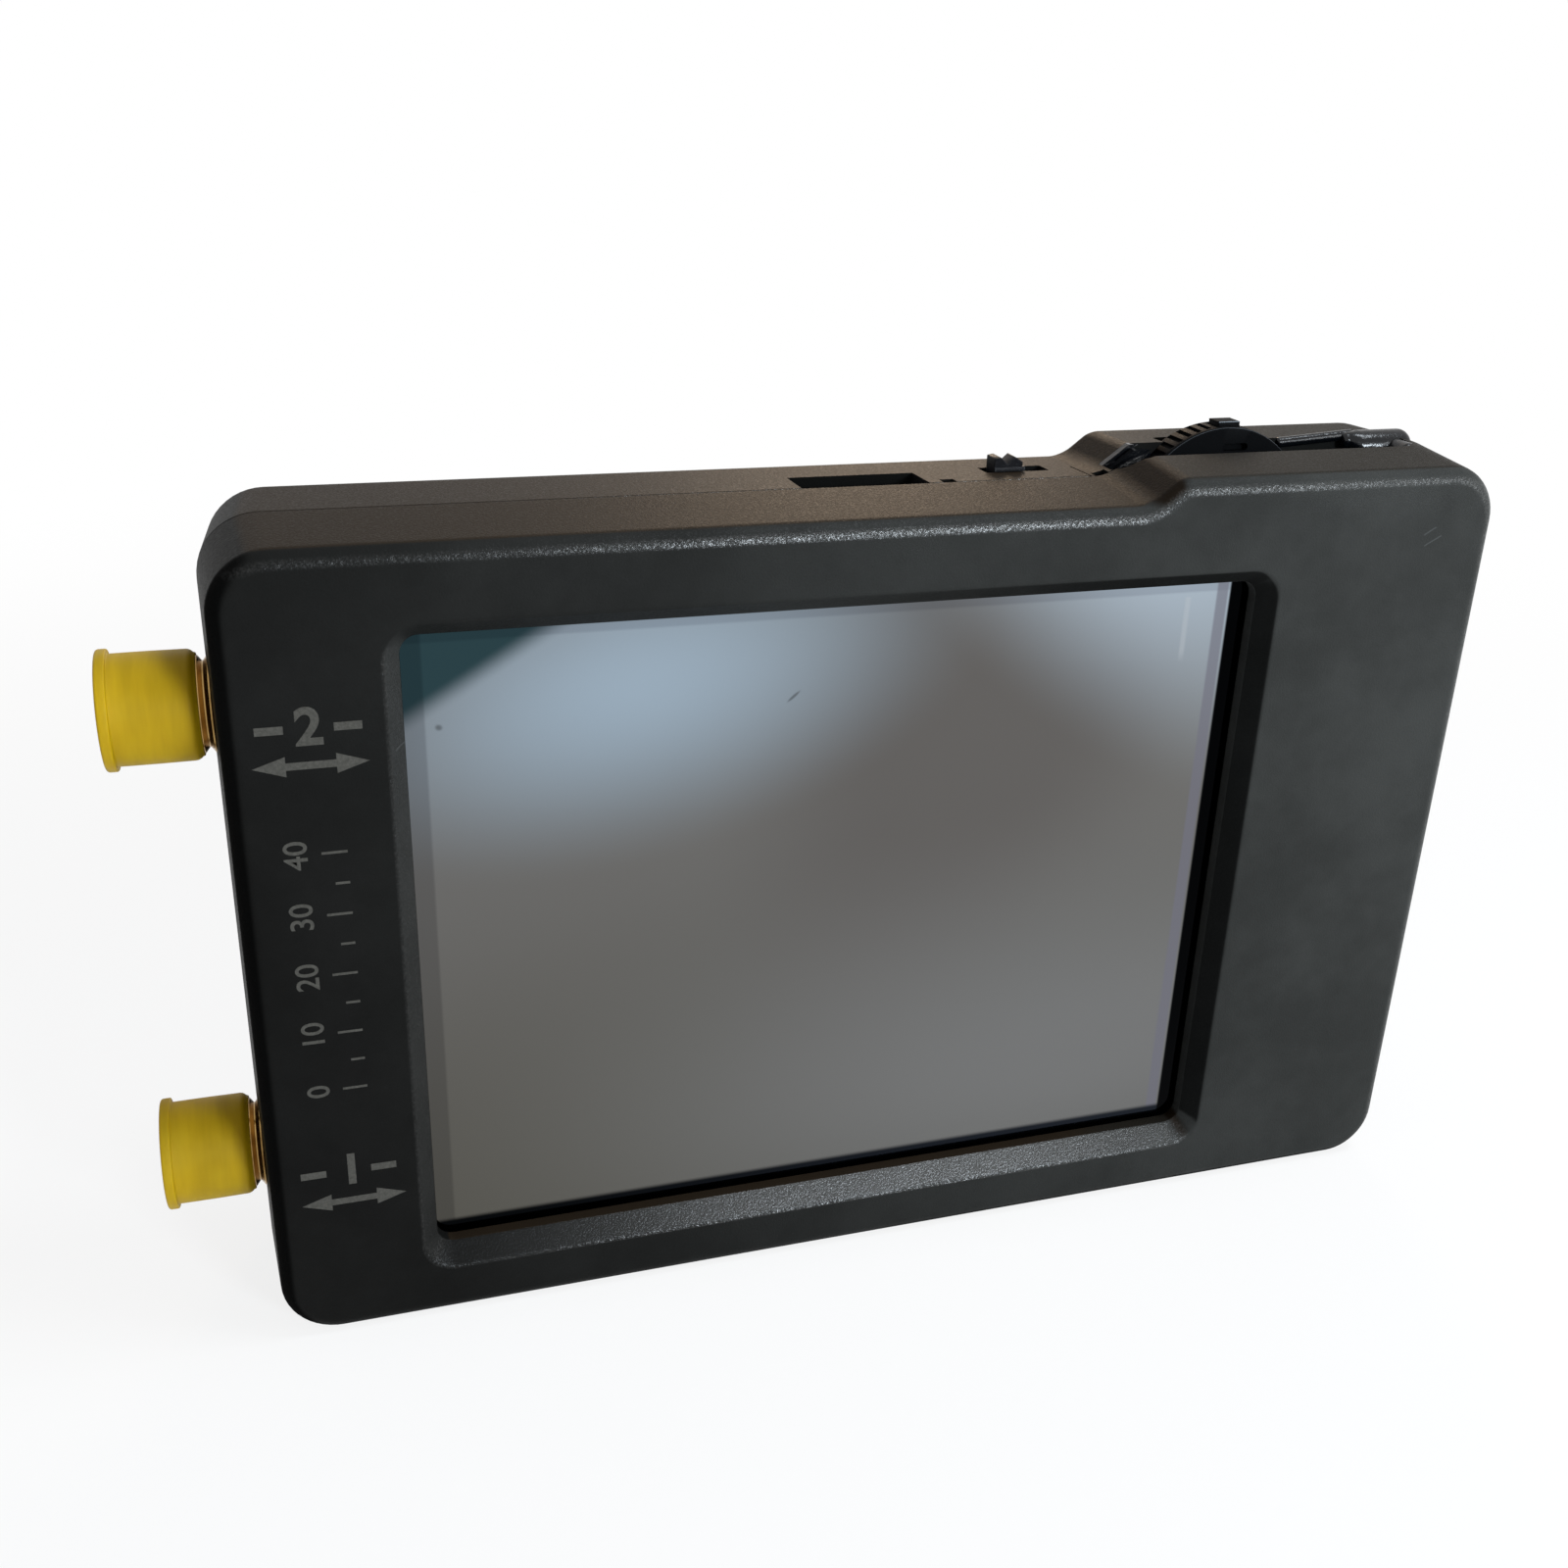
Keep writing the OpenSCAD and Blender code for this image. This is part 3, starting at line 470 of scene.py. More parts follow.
def channel_cutters():
    """The long slot, and the wider pockets that clear the back of the wheel."""
    long_slot = add_block(
        "slot", (CHANNEL_X[0], CHANNEL_Y[0], CHANNEL_LOW + 0.05), (CHANNEL_X[1], LIP_Y, ABOVE)
    )
    left, right, front = (
        upright_at(X, CHANNEL_X[0]), upright_at(X, CHANNEL_X[1]), upright_at(Y, CHANNEL_Y[0])
    )
    soften(long_slot, (2.0, 2, lambda e: left(e) and front(e), 0.35), (1.3, 8, right))
    y_from = LIP_Y - 0.8
    pocket = add_block(
        "pocket", (WHEEL_ROOM_X[0], y_from, 58.8), (WHEEL_ROOM_X[1], CHANNEL_Y[1], ABOVE)
    )
    edit(pocket)
    round_edges(pocket, 0.4, 4, upright_at(Y, CHANNEL_Y[1]))
    for side, step in ((-1, 3.6), (1, -3.2)):
        pick(pocket, "VERT", lambda v: spot(v)[Z] > ABOVE - 0.1 and side * (spot(v)[X] - JOG_X) > 2)
        shift(x=step)
    leave()
    below = add_block(
        "below", (BELOW_ROOM_X[0], y_from, CHANNEL_LOW), (BELOW_ROOM_X[1], CHANNEL_Y[1] - 0.1, 58.9)
    )
    return long_slot, pocket, below


# %% Cut the holes, the channel and the slots
for half in (front_cover, back_cover):
    cut(half, *(round_bar("hole", (-1, PORT_Y, z), "X", HOLE_R, 4.5) for z in PORT_Z.values()))
    cut(half, *channel_cutters())

usb_end = USB_X + USB_W / 2 + USB_GAP
openings = (
    ("socket_slot", (usb_end - USB_W - 2 * USB_GAP, 6, 54), (usb_end, SPLIT_Y + 3.41)),
    ("switch_slot", (SLOT_X, SLOT_Y, 54), (SLOT_X + SLOT_W, SLOT_Y + SLOT_D)),
    ("left_notch", (49.92, 6, 57.7), (50.97, SPLIT_Y + 0.85)),
    ("right_notch", (61.7, 6, 57.7), (62.75, SPLIT_Y + 0.85)),
    ("groove", (61.3, SPLIT_Y - 0.5, 58.02), (61.42, SPLIT_Y + 3.4)),
)
cut(back_cover, *(add_block(name, low, (*high, HUMP_H)) for name, low, high in openings))
cut(back_cover, *(round_bar("recess", (x, CASE_T - 1.35, z), "Y", 2.1, 3) for x, z in SCREWS))
edit(back_cover)
select_all()
bpy.ops.mesh.remove_doubles(threshold=1e-6)
leave()
print("cut", [name for name, low, high in openings], "and", len(SCREWS), "recesses")

# %% [markdown]
# ## Soft edges of the window
# A moulded edge is never knife sharp. A narrow bevel on the window's rim and a finer one
# at the foot of its slope each catch a thin line of light.


# %% Narrow bevels
def between(value, low, high):
    return low - 0.01 <= value <= high + 0.01


def window_rim(e):
    x, _, z = spot(e)
    inside = between(x, WINDOW_X, WINDOW_X + WINDOW_W) and between(z, WINDOW_Z, WINDOW_Z + WINDOW_H)
    return lies_on(e, Y, 0) and inside and not e.is_boundary and e.calc_face_angle(0) > 0.3


def window_fold(e):
    return lies_on(e, Y, SLOPE_D) and e.calc_face_angle(0) > 0.3


soften(front_cover, (0.22, 3, window_rim), (0.1, 2, window_fold))
smooth(front_cover)
smooth(back_cover)

# %% [markdown]
# ## Dust caps
# Each port wears a soft vinyl cap, dipped or moulded round and closed at its outer end
# by a small flange. It is a turned shape, so half of its section is drawn as a line of
# points and spun round the port's axis. The section is a thin wall with a soft mouth,
# which shows when the cap is pulled off.


# %% Turned pieces
def turned(name, section, p, steps=96):
    """Spins a section, a list of (along, radius), round an axis along X from p."""
    obj = trace(at(*p), section)
    bpy.ops.mesh.spin(
        steps=steps, angle=2 * math.pi, center=at(*p), axis=(1, 0, 0), use_auto_merge=True
    )
    face_out()
    leave()
    return settle(obj, name)


def arc(middle, radius, start, stop, steps):
    """Points of an arc for a section, from one angle in degrees to another."""
    turns = [math.radians(start + (stop - start) * i / steps) for i in range(steps + 1)]
    return [(middle[0] + radius * math.cos(t), middle[1] + radius * math.sin(t)) for t in turns]


# %% Dust caps
THREAD_R = 3.175
BARREL_OUT, CAP_GAP = 5.9, 0.63
CAP_BORE, CAP_R, CAP_RIM_R, CAP_RIM_T, CAP_END = THREAD_R + 0.05, 3.6, 3.92, 0.7, 0.5
CAP_LONG = CAP_OUT - CAP_GAP
MOUTH = 0.13
cap_section = (
    [(0.0, 0.0), (0.0, 2.9)]
    + arc((0.2, CAP_RIM_R - 0.2), 0.2, 180, 90, 5)
    + arc((CAP_RIM_T - 0.1, CAP_RIM_R - 0.1), 0.1, 90, 0, 4)
    + arc((CAP_RIM_T + 0.09, CAP_R + 0.09), 0.09, 180, 270, 4)
    + [(1.7, CAP_R + 0.01), (3.4, CAP_R + 0.015)]
    + arc((CAP_LONG - 0.62, CAP_R - 0.62), 0.62, 90, 40, 8)
    + arc((CAP_LONG - MOUTH / 2, CAP_BORE + MOUTH / 2), MOUTH / 2, 40, -90, 6)
    + [(CAP_END + 0.2, CAP_BORE), (CAP_END, CAP_BORE - 0.2), (CAP_END, 0.0)]
)
caps = {}
for end in ("high", "low"):
    caps[end] = turned(f"vinyl_cap_{end}", cap_section, (-CAP_OUT, PORT_Y, PORT_Z[end]))
    smooth(caps[end], 50)

# %% [markdown]
# ## Coaxial ports
# Under a cap is a gilt brass barrel with a fine thread, a square flange behind the wall
# and four legs that are soldered to the board. The thread is cut as rings: at this
# size a ring and a helix look the same, and rings keep the spin closed.

# %% Ports
BORE_R, FLANGE_X, BOARD_X, FLANGE = 2.05, (2.3, 3.6), 3.6, 6.2
LEG_X, LEG_T, BOARD_T = BOARD_X - 0.2, 0.8, 1.6
THREAD_STEP, THREAD_DEEP = 0.706, 0.36


def barrel_section():
    """Section of the threaded barrel, from its mouth to the flange."""
    rise = BARREL_OUT + FLANGE_X[0]
    crest = THREAD_R - THREAD_DEEP
    points = [(0.0, BORE_R + 0.25), (0.0, crest - 0.05), (0.22, THREAD_R - 0.12)]
    along = 0.3
    while along < rise - 0.8:
        steps = ((0, THREAD_R), (0.09, THREAD_R), (0.36, crest), (0.44, crest))
        points += [(along + a, radius) for a, radius in steps]
        along += THREAD_STEP
    points += [(along, THREAD_R - 0.02), (rise + 0.3, THREAD_R - 0.02), (rise + 0.3, BORE_R)]
    return points + [(0.35, BORE_R), (0.12, BORE_R + 0.06), (0.0, BORE_R + 0.25)]


def port(name, z):
    obj = turned(name, barrel_section(), (-BARREL_OUT, PORT_Y, z), steps=64)
    flange = add_block(
        "flange",
        (FLANGE_X[0], PORT_Y - FLANGE / 2, z - FLANGE / 2),
        (FLANGE_X[1], PORT_Y + FLANGE / 2, z + FLANGE / 2),
    )
    soften(flange, (0.2, 3, lambda e: True))
    legs = []
    for side in (-1, 1):
        leg_z = z + side * (FLANGE / 2 - 0.5) - 0.5
        for low_y in (SPLIT_Y, SPLIT_Y - BOARD_T - LEG_T):
            leg = add_block("leg", (LEG_X, low_y, leg_z), (LEG_X + 4.2, low_y + LEG_T, leg_z + 1))
            legs.append(soften(leg, (0.12, 2, lambda e: not lies_on(e, X, LEG_X))))
    return smooth(join(obj, flange, *legs), 38)


ports = {end: port(f"coax_port_{end}", PORT_Z[end]) for end in PORT_Z}

# %% [markdown]
# ## Jog wheel
# The wheel is a small black disc that stands up through the channel, with a plain front
# rim, a knurled tread behind it and a low thumb bump. A cylinder with two sides for each
# tooth is the start. Every other side face is inset and sunk, which leaves teeth with
# sloping flanks, and the front edge gets a chamfer that shows as a thin bright arc, made
# brighter by a painted highlight in the wheel's finish. The flat front has a shallow step
# and, near the top, a dimple for a fingertip.

# %% Jog wheel
JOG_Z, JOG_Y, JOG_T = 54.1, 8.5, 2.4
JOG_R, TOOTH, TEETH, TOOTH_GAP, FRONT_RIM = 7.1, 0.22, 56, 0.06, 0.42
STEP_IN, STEP_WIDE, STEP_DEEP = 3.4, 0.12, 0.1
BUMP_X, BUMP_Y, BUMP_Z = (JOG_X - 0.6, JOG_X + 1.35), (9.1, 10.65), (60.3, 61.5)


def tooth_faces(face):
    x, y, z = spot(face)
    turn = math.atan2(x - JOG_X, z - JOG_Z) / (2 * math.pi) * TEETH * 2
    on_side = math.hypot(x - JOG_X, z - JOG_Z) > 6.7 and JOG_Y + 0.5 < y < JOG_Y + JOG_T - 0.2
    return on_side and round(turn - 0.5) % 2 == 0


jog_wheel = round_bar("thumb_wheel", (JOG_X, JOG_Y, JOG_Z), "Y", JOG_R, JOG_T, TEETH * 2)
edit(jog_wheel)
rim = round_edges(jog_wheel, 0.13, 2, on(Y, JOG_Y))
round_edges(jog_wheel, 0.1, 2, on(Y, JOG_Y + JOG_T))
split("Y", JOG_Y + FRONT_RIM)
picked = pick(jog_wheel, "FACE", tooth_faces)
bpy.ops.mesh.inset(thickness=TOOTH_GAP * MM, depth=-TOOTH * MM, use_individual=True)
pick(jog_wheel, "FACE", lambda f: len(f.verts) > 60 and spot(f)[Y] < JOG_Y + 0.1)
bpy.ops.mesh.inset(thickness=STEP_IN * MM)
bpy.ops.mesh.inset(thickness=STEP_WIDE * MM, depth=STEP_DEEP * MM)
leave()
print("teeth", picked, "rim edges", rim)

bump = add_block("bump", *zip(BUMP_X, BUMP_Y, BUMP_Z))
edit(bump)
pick(bump, "FACE", lambda f: spot(f)[Z] > BUMP_Z[1] - 0.01)
bpy.ops.transform.resize(value=(0.9, 0.94, 1))
round_edges(bump, 0.07, 3, on(Z, BUMP_Z[1]))
round_edges(bump, 0.1, 2, lambda e: spans(e, Z, 0.5))
leave()
cut(jog_wheel, bump, operation="UNION")
dimple = add_block("dimple", (JOG_X - 0.35, JOG_Y - 0.4, 59.45), (JOG_X + 1.75, JOG_Y + 0.5, 60.0))
soften(dimple, (0.26, 6, lambda e: spans(e, Y, 0.5)))
cut(jog_wheel, dimple, round_bar("bore", (JOG_X, JOG_Y - 1, JOG_Z), "Y", 1.04, JOG_T + 2, 32))
smooth(jog_wheel)

# %% [markdown]
# ## Channel rim
# A glossy bead runs along the back of the jog channel, up the slope of the hump, down
# behind the wheel and round the channel's end. The engineering model has its path, so
# its mesh is copied, cleaned to flat faces, bent and rounded, and cleared for the
# wheel. A second, lower ridge in front of it gives the second bright line that the
# photograph shows. A soft horn fills the channel's right end, with a short bar on the
# end itself and a thin one along the lip behind the wheel.


# %% Copies of engineering pieces
def copy_of(node, name, angle=4):
    """Merged copy of a node's mesh with its flat faces whole again."""
    source = nodes[node]
    obj = bpy.data.objects.new(name, source.data.copy())
    scene.collection.objects.link(obj)
    obj.data.materials.clear()
    edit(obj)
    select_all()
    bpy.ops.mesh.remove_doubles(threshold=1e-6)
    bpy.ops.mesh.dissolve_limited(angle_limit=math.radians(angle))
    leave()
    print(name, "from", node, "faces", len(obj.data.polygons))
    return obj


# %% Channel rim
BEAD_Y = (11.35, 11.9)
HORN_X, HORN_LONG, END_Y, LIP_BAR_X = 83.2, 5.6, 6.3, 77.7
channel_bead = copy_of("channel_rim", "channel_bead", angle=0.5)
edit(channel_bead)
for x in (68.4, 70.0):
    split("X", x)
pick(channel_bead, "VERT", lambda v: 65 < spot(v)[X] < 67.5)
shift(x=0.85)
pick(channel_bead, "VERT", lambda v: spot(v)[X] < 64.2)
shift(z=-0.6)
pick(channel_bead, "VERT", lambda v: spot(v)[X] < 67.6)
shift(-0.98, LIP_Y - CHANNEL_Y[1] - 0.02, 0.43)
pick(channel_bead, "VERT", lambda v: 69.5 < spot(v)[X] < 85)
shift(z=-0.3)
face_out()


def ridge(edge):
    side = lies_on(edge, Y, BEAD_Y[0]) or lies_on(edge, Y, BEAD_Y[1])
    return side and any(f.normal.z > 0.3 and abs(f.normal.y) < 0.1 for f in edge.link_faces)


print("ridge edges", round_edges(channel_bead, 0.25, 5, ridge))
leave()
# The wheel's room is cut before the ridge is doubled; the two would cross otherwise.
cut(channel_bead, round_bar("clearance", (JOG_X, 8.2, JOG_Z), "Y", JOG_R + 0.6, 3.4, 96))
edit(channel_bead)
select_all()
bpy.ops.mesh.duplicate_move(TRANSFORM_OT_translate={"value": (0.3 * MM, -0.42 * MM, -0.33 * MM)})
leave()
horn = round_bar("horn", (HORN_X, 9.35, 59.22), "X", 1.25, HORN_LONG, 48)
edit(horn)
round_edges(horn, 0.95, 6, on(X, HORN_X + HORN_LONG))
split("X", HORN_X + 1)
round_edges(horn, 0.5, 4, on(X, HORN_X))
pick(horn, "VERT", lambda v: spot(v)[X] < HORN_X + 0.7)
stretch((1, 0.5, 0.5), at(HORN_X, 10.1, 60.05))
leave()
end_bar = round_bar("end_bar", (87.1, END_Y, 59.1), "Y", 0.85, 3.6, 32)
soften(end_bar, (0.5, 4, on(Y, END_Y)))
lip_bar = round_bar("lip_bar", (LIP_BAR_X, LIP_Y, 60.0), "X", 0.4, 6.5, 24)
edit(lip_bar)
round_edges(lip_bar, 0.25, 4, on(X, LIP_BAR_X))
pick(lip_bar, "VERT", lambda v: spot(v)[X] < LIP_BAR_X + 1.3)
shift(z=-0.42)
leave()
smooth(join(channel_bead, horn, end_bar, lip_bar), 40)

# %% [markdown]
# ## Touch glass
# The display reads as one dark sheet that mirrors the room. The sheet is larger than
# the window and lies behind the front wall, so a block with soft arrises is enough; its
# looks come from its finish.

# %% Touch glass
touch_glass = add_block("touch_glass", (8.8, FRONT_WALL, 3.35), (78.0, FRONT_WALL + 1, 53.35))
smooth(soften(touch_glass, (0.12, 2, lambda e: True)), 40)

# %% [markdown]
# ## Switch knob and screws
# The knob of the power switch has two ridges with a valley for a fingernail. Its mesh
# comes from the engineering model; it is made a little smaller, gets soft edges and a
# thin foot plate. A screw is a turned head with a rounded crown, joined to its shank,
# and two thin blocks cut the cross.

# %% Switch knob
KNOB_FOOT = at(57.12, 10.4, CASE_H)
PLATE_Y, PLATE_TOP = 10.12, CASE_H + 0.32
slide_knob = copy_of("switch_knob", "slide_knob")
edit(slide_knob)
select_all()
stretch((0.81, 1, 1), KNOB_FOOT)
pick(slide_knob, "VERT", lambda v: spot(v)[Z] > CASE_H)
stretch((1, 1, 0.78), KNOB_FOOT)
round_edges(slide_knob, 0.07, 2, lambda e: e.calc_face_angle(0) > 0.4)
leave()
plate = add_block("plate", (54.8, PLATE_Y, CASE_H + 0.02), (57.16, 10.7, PLATE_TOP))
soften(plate, (0.12, 3, lambda e: lies_on(e, Y, PLATE_Y) and lies_on(e, Z, PLATE_TOP)))
smooth(join(slide_knob, plate), 40)

# %% Case screws
HEAD_R, HEAD_T, SHANK_R, CROSS_LONG, CROSS_WIDE, CROSS_DEEP = 1.9, 1.1, 0.95, 1.05, 0.2, 0.55
SCREW_Y = [drawn(Vector(corner))[Y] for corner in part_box("case_screws")]
print("screws run from", SCREW_Y)


def screw(x, z):
    tip, face = SCREW_Y
    seat = face - HEAD_T
    head = round_bar("screw", (x, seat, z), "Y", HEAD_R, HEAD_T, 48)
    soften(head, (0.35, 4, on(Y, face)), (0.08, 2, on(Y, seat)))
    for a, b in ((CROSS_LONG, CROSS_WIDE), (CROSS_WIDE, CROSS_LONG)):
        cut(head, add_block("slot", (x - a, face - CROSS_DEEP, z - b), (x + a, face + 1, z + b)))
    shank = round_bar("shank", (x, tip, z), "Y", SHANK_R, seat - tip + 0.1, 24)
    return join(head, soften(shank, (0.4, 2, on(Y, tip))))


cover_screws = settle(join(*[screw(x, z) for x, z in SCREWS]), "cover_screws")
smooth(cover_screws, 40)

# %% [markdown]
# ## Marks
# Pale grey marks are lasered into the front beside the ports. They are plain numerals,
# double arrows and a small scale of ticks. Each is a flat shape that stands a
# hundredth of a millimetre off the face, which keeps its edge sharp at any zoom.

# %% Marks
MARK_OUT, ARROW_LONG = 0.012, 7.05


def flat_shape(name, points):
    """Flat outline in X and Z of the drawing, on the front face."""
    obj = trace(at(0, -MARK_OUT, 0), points)
    bpy.ops.mesh.edge_face_add()
    leave()
    return settle(obj, name)


def bar_mark(x, z, x_end, half_height):
    """Level stroke from x to x_end, with z as its middle."""
    return add_sheet("mark", (x, -MARK_OUT, z - half_height), (x_end, -MARK_OUT, z + half_height))


def arrow(x, z):
    """Double arrow that runs from x, z to the right."""
    half = [(0, 0), (2.0, -0.675), (2.0, -0.25)]
    full = half + [(ARROW_LONG - a, b) for a, b in reversed(half)]
    full += [(ARROW_LONG - a, -b) for a, b in half[1:]] + [(a, -b) for a, b in reversed(half[1:])]
    return flat_shape("mark", [(x + a, z + b) for a, b in full])


def numeral(body, x, z, height, bold, turn=0.0):
    clear_selection()
    bpy.ops.object.text_add(location=at(x, -MARK_OUT, z), rotation=(math.pi / 2, turn, 0))
    text = bpy.context.object
    text.data.body = body
    text.data.size = height * MM * 1.37
    text.data.offset = bold * MM
    text.data.align_x, text.data.align_y = "CENTER", "CENTER"
    text.data.resolution_u = 6
    bpy.ops.object.convert(target="MESH")
    return settle(bpy.context.object, "mark")


NUMERAL_Z, SCALE_Z, TENTH = (46.6, 13.8), 20.5, 4.4
marks = [
    numeral("2", 5.8, NUMERAL_Z[0], 2.5, bold=0.09),
    arrow(2.25, 44.18),
    numeral("1", 6.0, NUMERAL_Z[1], 2.5, bold=0.09),
    arrow(2.5, 11.37),
]
marks += [bar_mark(x, z, x + 1.7, 0.27) for z in NUMERAL_Z for x in (2.6, 7.3)]
for step in range(9):
    left = 6.6 if step % 2 else 5.9
    marks.append(bar_mark(left, SCALE_Z + step * TENTH / 2, 7.5, 0.09))
for step in range(5):
    label, z = str(step * 10), SCALE_Z + step * TENTH
    marks.append(numeral(label, 4.4, z, 1.5, bold=0.02, turn=-math.pi / 2))
face_marks = settle(join(*marks), "face_marks")
print("mark faces", len(face_marks.data.polygons))

# %% [markdown]
# ## Shader building blocks
# Every finish is procedural. One helper adds a node and wires its inputs, and the
# others find the node tree from the socket they are given. Three effects that many
# finishes share are groups: moulded grain, dust and fine scratches. All of them read
# Object coordinates in metres, so a pattern has the same real size on every piece.


# %% Node helpers
def add_node(tree, kind, settings=None, **wires):
    """Adds a node; a keyword is an input's name or _ and its number, given a value or socket."""
    made = tree.nodes.new("ShaderNode" + kind)
    for key, value in (settings or {}).items():
        setattr(made, key, value)
    for key, value in wires.items():
        socket = made.inputs[int(key[1:]) if key[1:].isdigit() else key.replace("_", " ")]
        if isinstance(value, bpy.types.NodeSocket):
            tree.links.new(value, socket)
        else:
            socket.default_value = value
    return made


def blend(factor, a, b):
    """Mixes two colours, each a socket or three numbers; the factor is a socket."""
    a, b = ((*color, 1) if isinstance(color, tuple) else color for color in (a, b))
    made = add_node(factor.id_data, "Mix", {"data_type": "RGBA"}, _0=factor, _6=a, _7=b)
    return made.outputs[2]


def tinted(shade, factors):
    """A colour socket times three numbers."""
    kind = {"data_type": "RGBA", "blend_type": "MULTIPLY"}
    made = add_node(shade.id_data, "Mix", kind, _0=1.0, _6=shade, _7=(*factors, 1))
    return made.outputs[2]


# %% Maths and noise
def maths(operation, a, b=0.0, c=0.0):
    return add_node(a.id_data, "Math", {"operation": operation}, _0=a, _1=b, _2=c).outputs[0]


def product(first, *others):
    for other in others:
        first = maths("MULTIPLY", first, other)
    return first


def vectors(operation, a, b=(0, 0, 0)):
    """Maths with vectors; a length is a number, every other result a vector."""
    made = add_node(a.id_data, "VectorMath", {"operation": operation}, _0=a, _1=b)
    return made.outputs["Value" if operation == "LENGTH" else "Vector"]


def rotated(vector, axis, angle):
    kind = {"rotation_type": axis + "_AXIS"}
    return add_node(vector.id_data, "VectorRotate", kind, Vector=vector, Angle=angle).outputs[0]


def separate(vector):
    return add_node(vector.id_data, "SeparateXYZ", _0=vector).outputs


def noise(vector, scale, detail, rough=0.5):
    values = {"Vector": vector, "Scale": scale, "Detail": detail, "Roughness": rough}
    return add_node(vector.id_data, "TexNoise", **values).outputs[0]


def remap(value, low, high, to_low=0.0, to_high=1.0, soft=True):
    kind = {"interpolation_type": "SMOOTHSTEP" if soft else "LINEAR"}
    limits = {"_1": low, "_2": high, "_3": to_low, "_4": to_high}
    return add_node(value.id_data, "MapRange", kind, _0=value, **limits).outputs[0]


def ramp(parts, axis, first, last, *levels):
    """Soft step between two places of the drawing along X, Y or Z."""
    low, high = (at(place, place, place)[axis] for place in (first, last))
    return remap(parts[axis], low, high, *levels)


# %% Node groups
def new_group(name, inputs, outputs):
    """Empty node group with float sockets, plus a Vector input first."""
    group = bpy.data.node_groups.new(name, "ShaderNodeTree")
    group.interface.new_socket("Vector", in_out="INPUT", socket_type="NodeSocketVector")
    for label, value in inputs.items():
        made = group.interface.new_socket(label, in_out="INPUT", socket_type="NodeSocketFloat")
        made.default_value = value
    for label in outputs:
        group.interface.new_socket(label, in_out="OUTPUT", socket_type="NodeSocketFloat")
    taken, given = (group.nodes.new("NodeGroup" + end) for end in ("Input", "Output"))
    return group, taken.outputs, given.inputs


# %% Moulded grain
# Two sizes of noise and a cell pattern, as spark erosion leaves them in a mould.
sockets = {"Scale": 4000.0, "Fine": 0.5}
grain, taken, given = new_group("moulded_grain", sockets, ("Height", "Patch"))
coarse = noise(taken["Vector"], taken["Scale"], 2.0, 0.6)
cell_scale = maths("MULTIPLY", taken["Scale"], 0.8)
cells = add_node(
    grain, "TexVoronoi", {"feature": "SMOOTH_F1"},
    Vector=taken["Vector"], Scale=cell_scale, Smoothness=0.6,
).outputs["Distance"]
fine = noise(taken["Vector"], maths("MULTIPLY", taken["Scale"], 2.6), 1.0)
height = maths("MULTIPLY_ADD", fine, taken["Fine"], maths("MULTIPLY_ADD", cells, -0.7, coarse))
grain.links.new(height, given["Height"])
patch = noise(taken["Vector"], 90.0, 4.0, 0.65)
grain.links.new(remap(patch, 0.3, 0.7), given["Patch"])

# %% Dust
# Sparse small specks: a cell's middle counts only where the cell's own number is low.
sockets = {"Scale": 600.0, "Amount": 0.05, "Size": 0.12}
dust, taken, given = new_group("dust", sockets, ("Mask",))
specks = add_node(dust, "TexVoronoi", Vector=taken["Vector"], Scale=taken["Scale"]).outputs
near = maths("LESS_THAN", specks["Distance"], taken["Size"])
number = add_node(dust, "SeparateColor", Color=specks["Color"]).outputs[0]
dust.links.new(product(near, maths("LESS_THAN", number, taken["Amount"])), given["Mask"])

# %% Scratches
# A noise that is stretched about thirty times along one direction, of which only a thin
# contour is kept, and that only in some places.
sockets = {"Scale": 300.0, "Turn": 0.6, "Amount": 0.5}
scratch, taken, given = new_group("scratches", sockets, ("Mask",))
long_way = vectors("MULTIPLY", rotated(taken["Vector"], "Y", taken["Turn"]), (0.03, 1, 1))
offset = maths("SUBTRACT", noise(long_way, taken["Scale"], 1.0), 0.5)
thin = maths("LESS_THAN", maths("ABSOLUTE", offset), 0.006)
zone = maths("LESS_THAN", noise(taken["Vector"], 120.0, 2.0), taken["Amount"])
scratch.links.new(product(thin, zone), given["Mask"])
print("groups", [g.name for g in bpy.data.node_groups])


# %% A finish with its shader
def start_finish(name, color, roughness, metallic=0.0, specular=0.5, **extra):
    """New material with constants on its shader; returns it, the shader and coordinates."""
    made = bpy.data.materials.new(name)
    made.use_nodes = True
    shader = made.node_tree.nodes["Principled BSDF"]
    shader.inputs["Base Color"].default_value = (*color, 1)
    shader.inputs["Specular IOR Level"].default_value = specular
    for key, value in {"Roughness": roughness, "Metallic": metallic, **extra}.items():
        shader.inputs[key.replace("_", " ")].default_value = value
    return made, shader, add_node(made.node_tree, "TexCoord").outputs["Object"]


# %% Groups, links and bumps
def use_group(group, place, **values):
    made = add_node(place.id_data, "Group", {"node_tree": group}, Vector=place, **values)
    return made.outputs


def wire(socket, shader, name):
    socket.id_data.links.new(socket, shader.inputs[name])


def set_bump(shader, height, depth_mm, name="Normal"):
    bump = add_node(height.id_data, "Bump", Height=height, Strength=1.0, Distance=depth_mm * MM)
    wire(bump.outputs[0], shader, name)


def grain_roughness(shader, texture, smooth, rough):
    """Rougher on the grain's heights than in its valleys."""
    wire(remap(texture["Height"], -0.2, 0.9, smooth, rough), shader, "Roughness")


def patchy_grain(shader, place, scale, fine, smooth, rough):
    """Grain whose broad patches set the roughness."""
    texture = use_group(grain, place, Scale=scale, Fine=fine)
    wire(remap(texture["Patch"], 0, 1, smooth, rough), shader, "Roughness")
    return texture
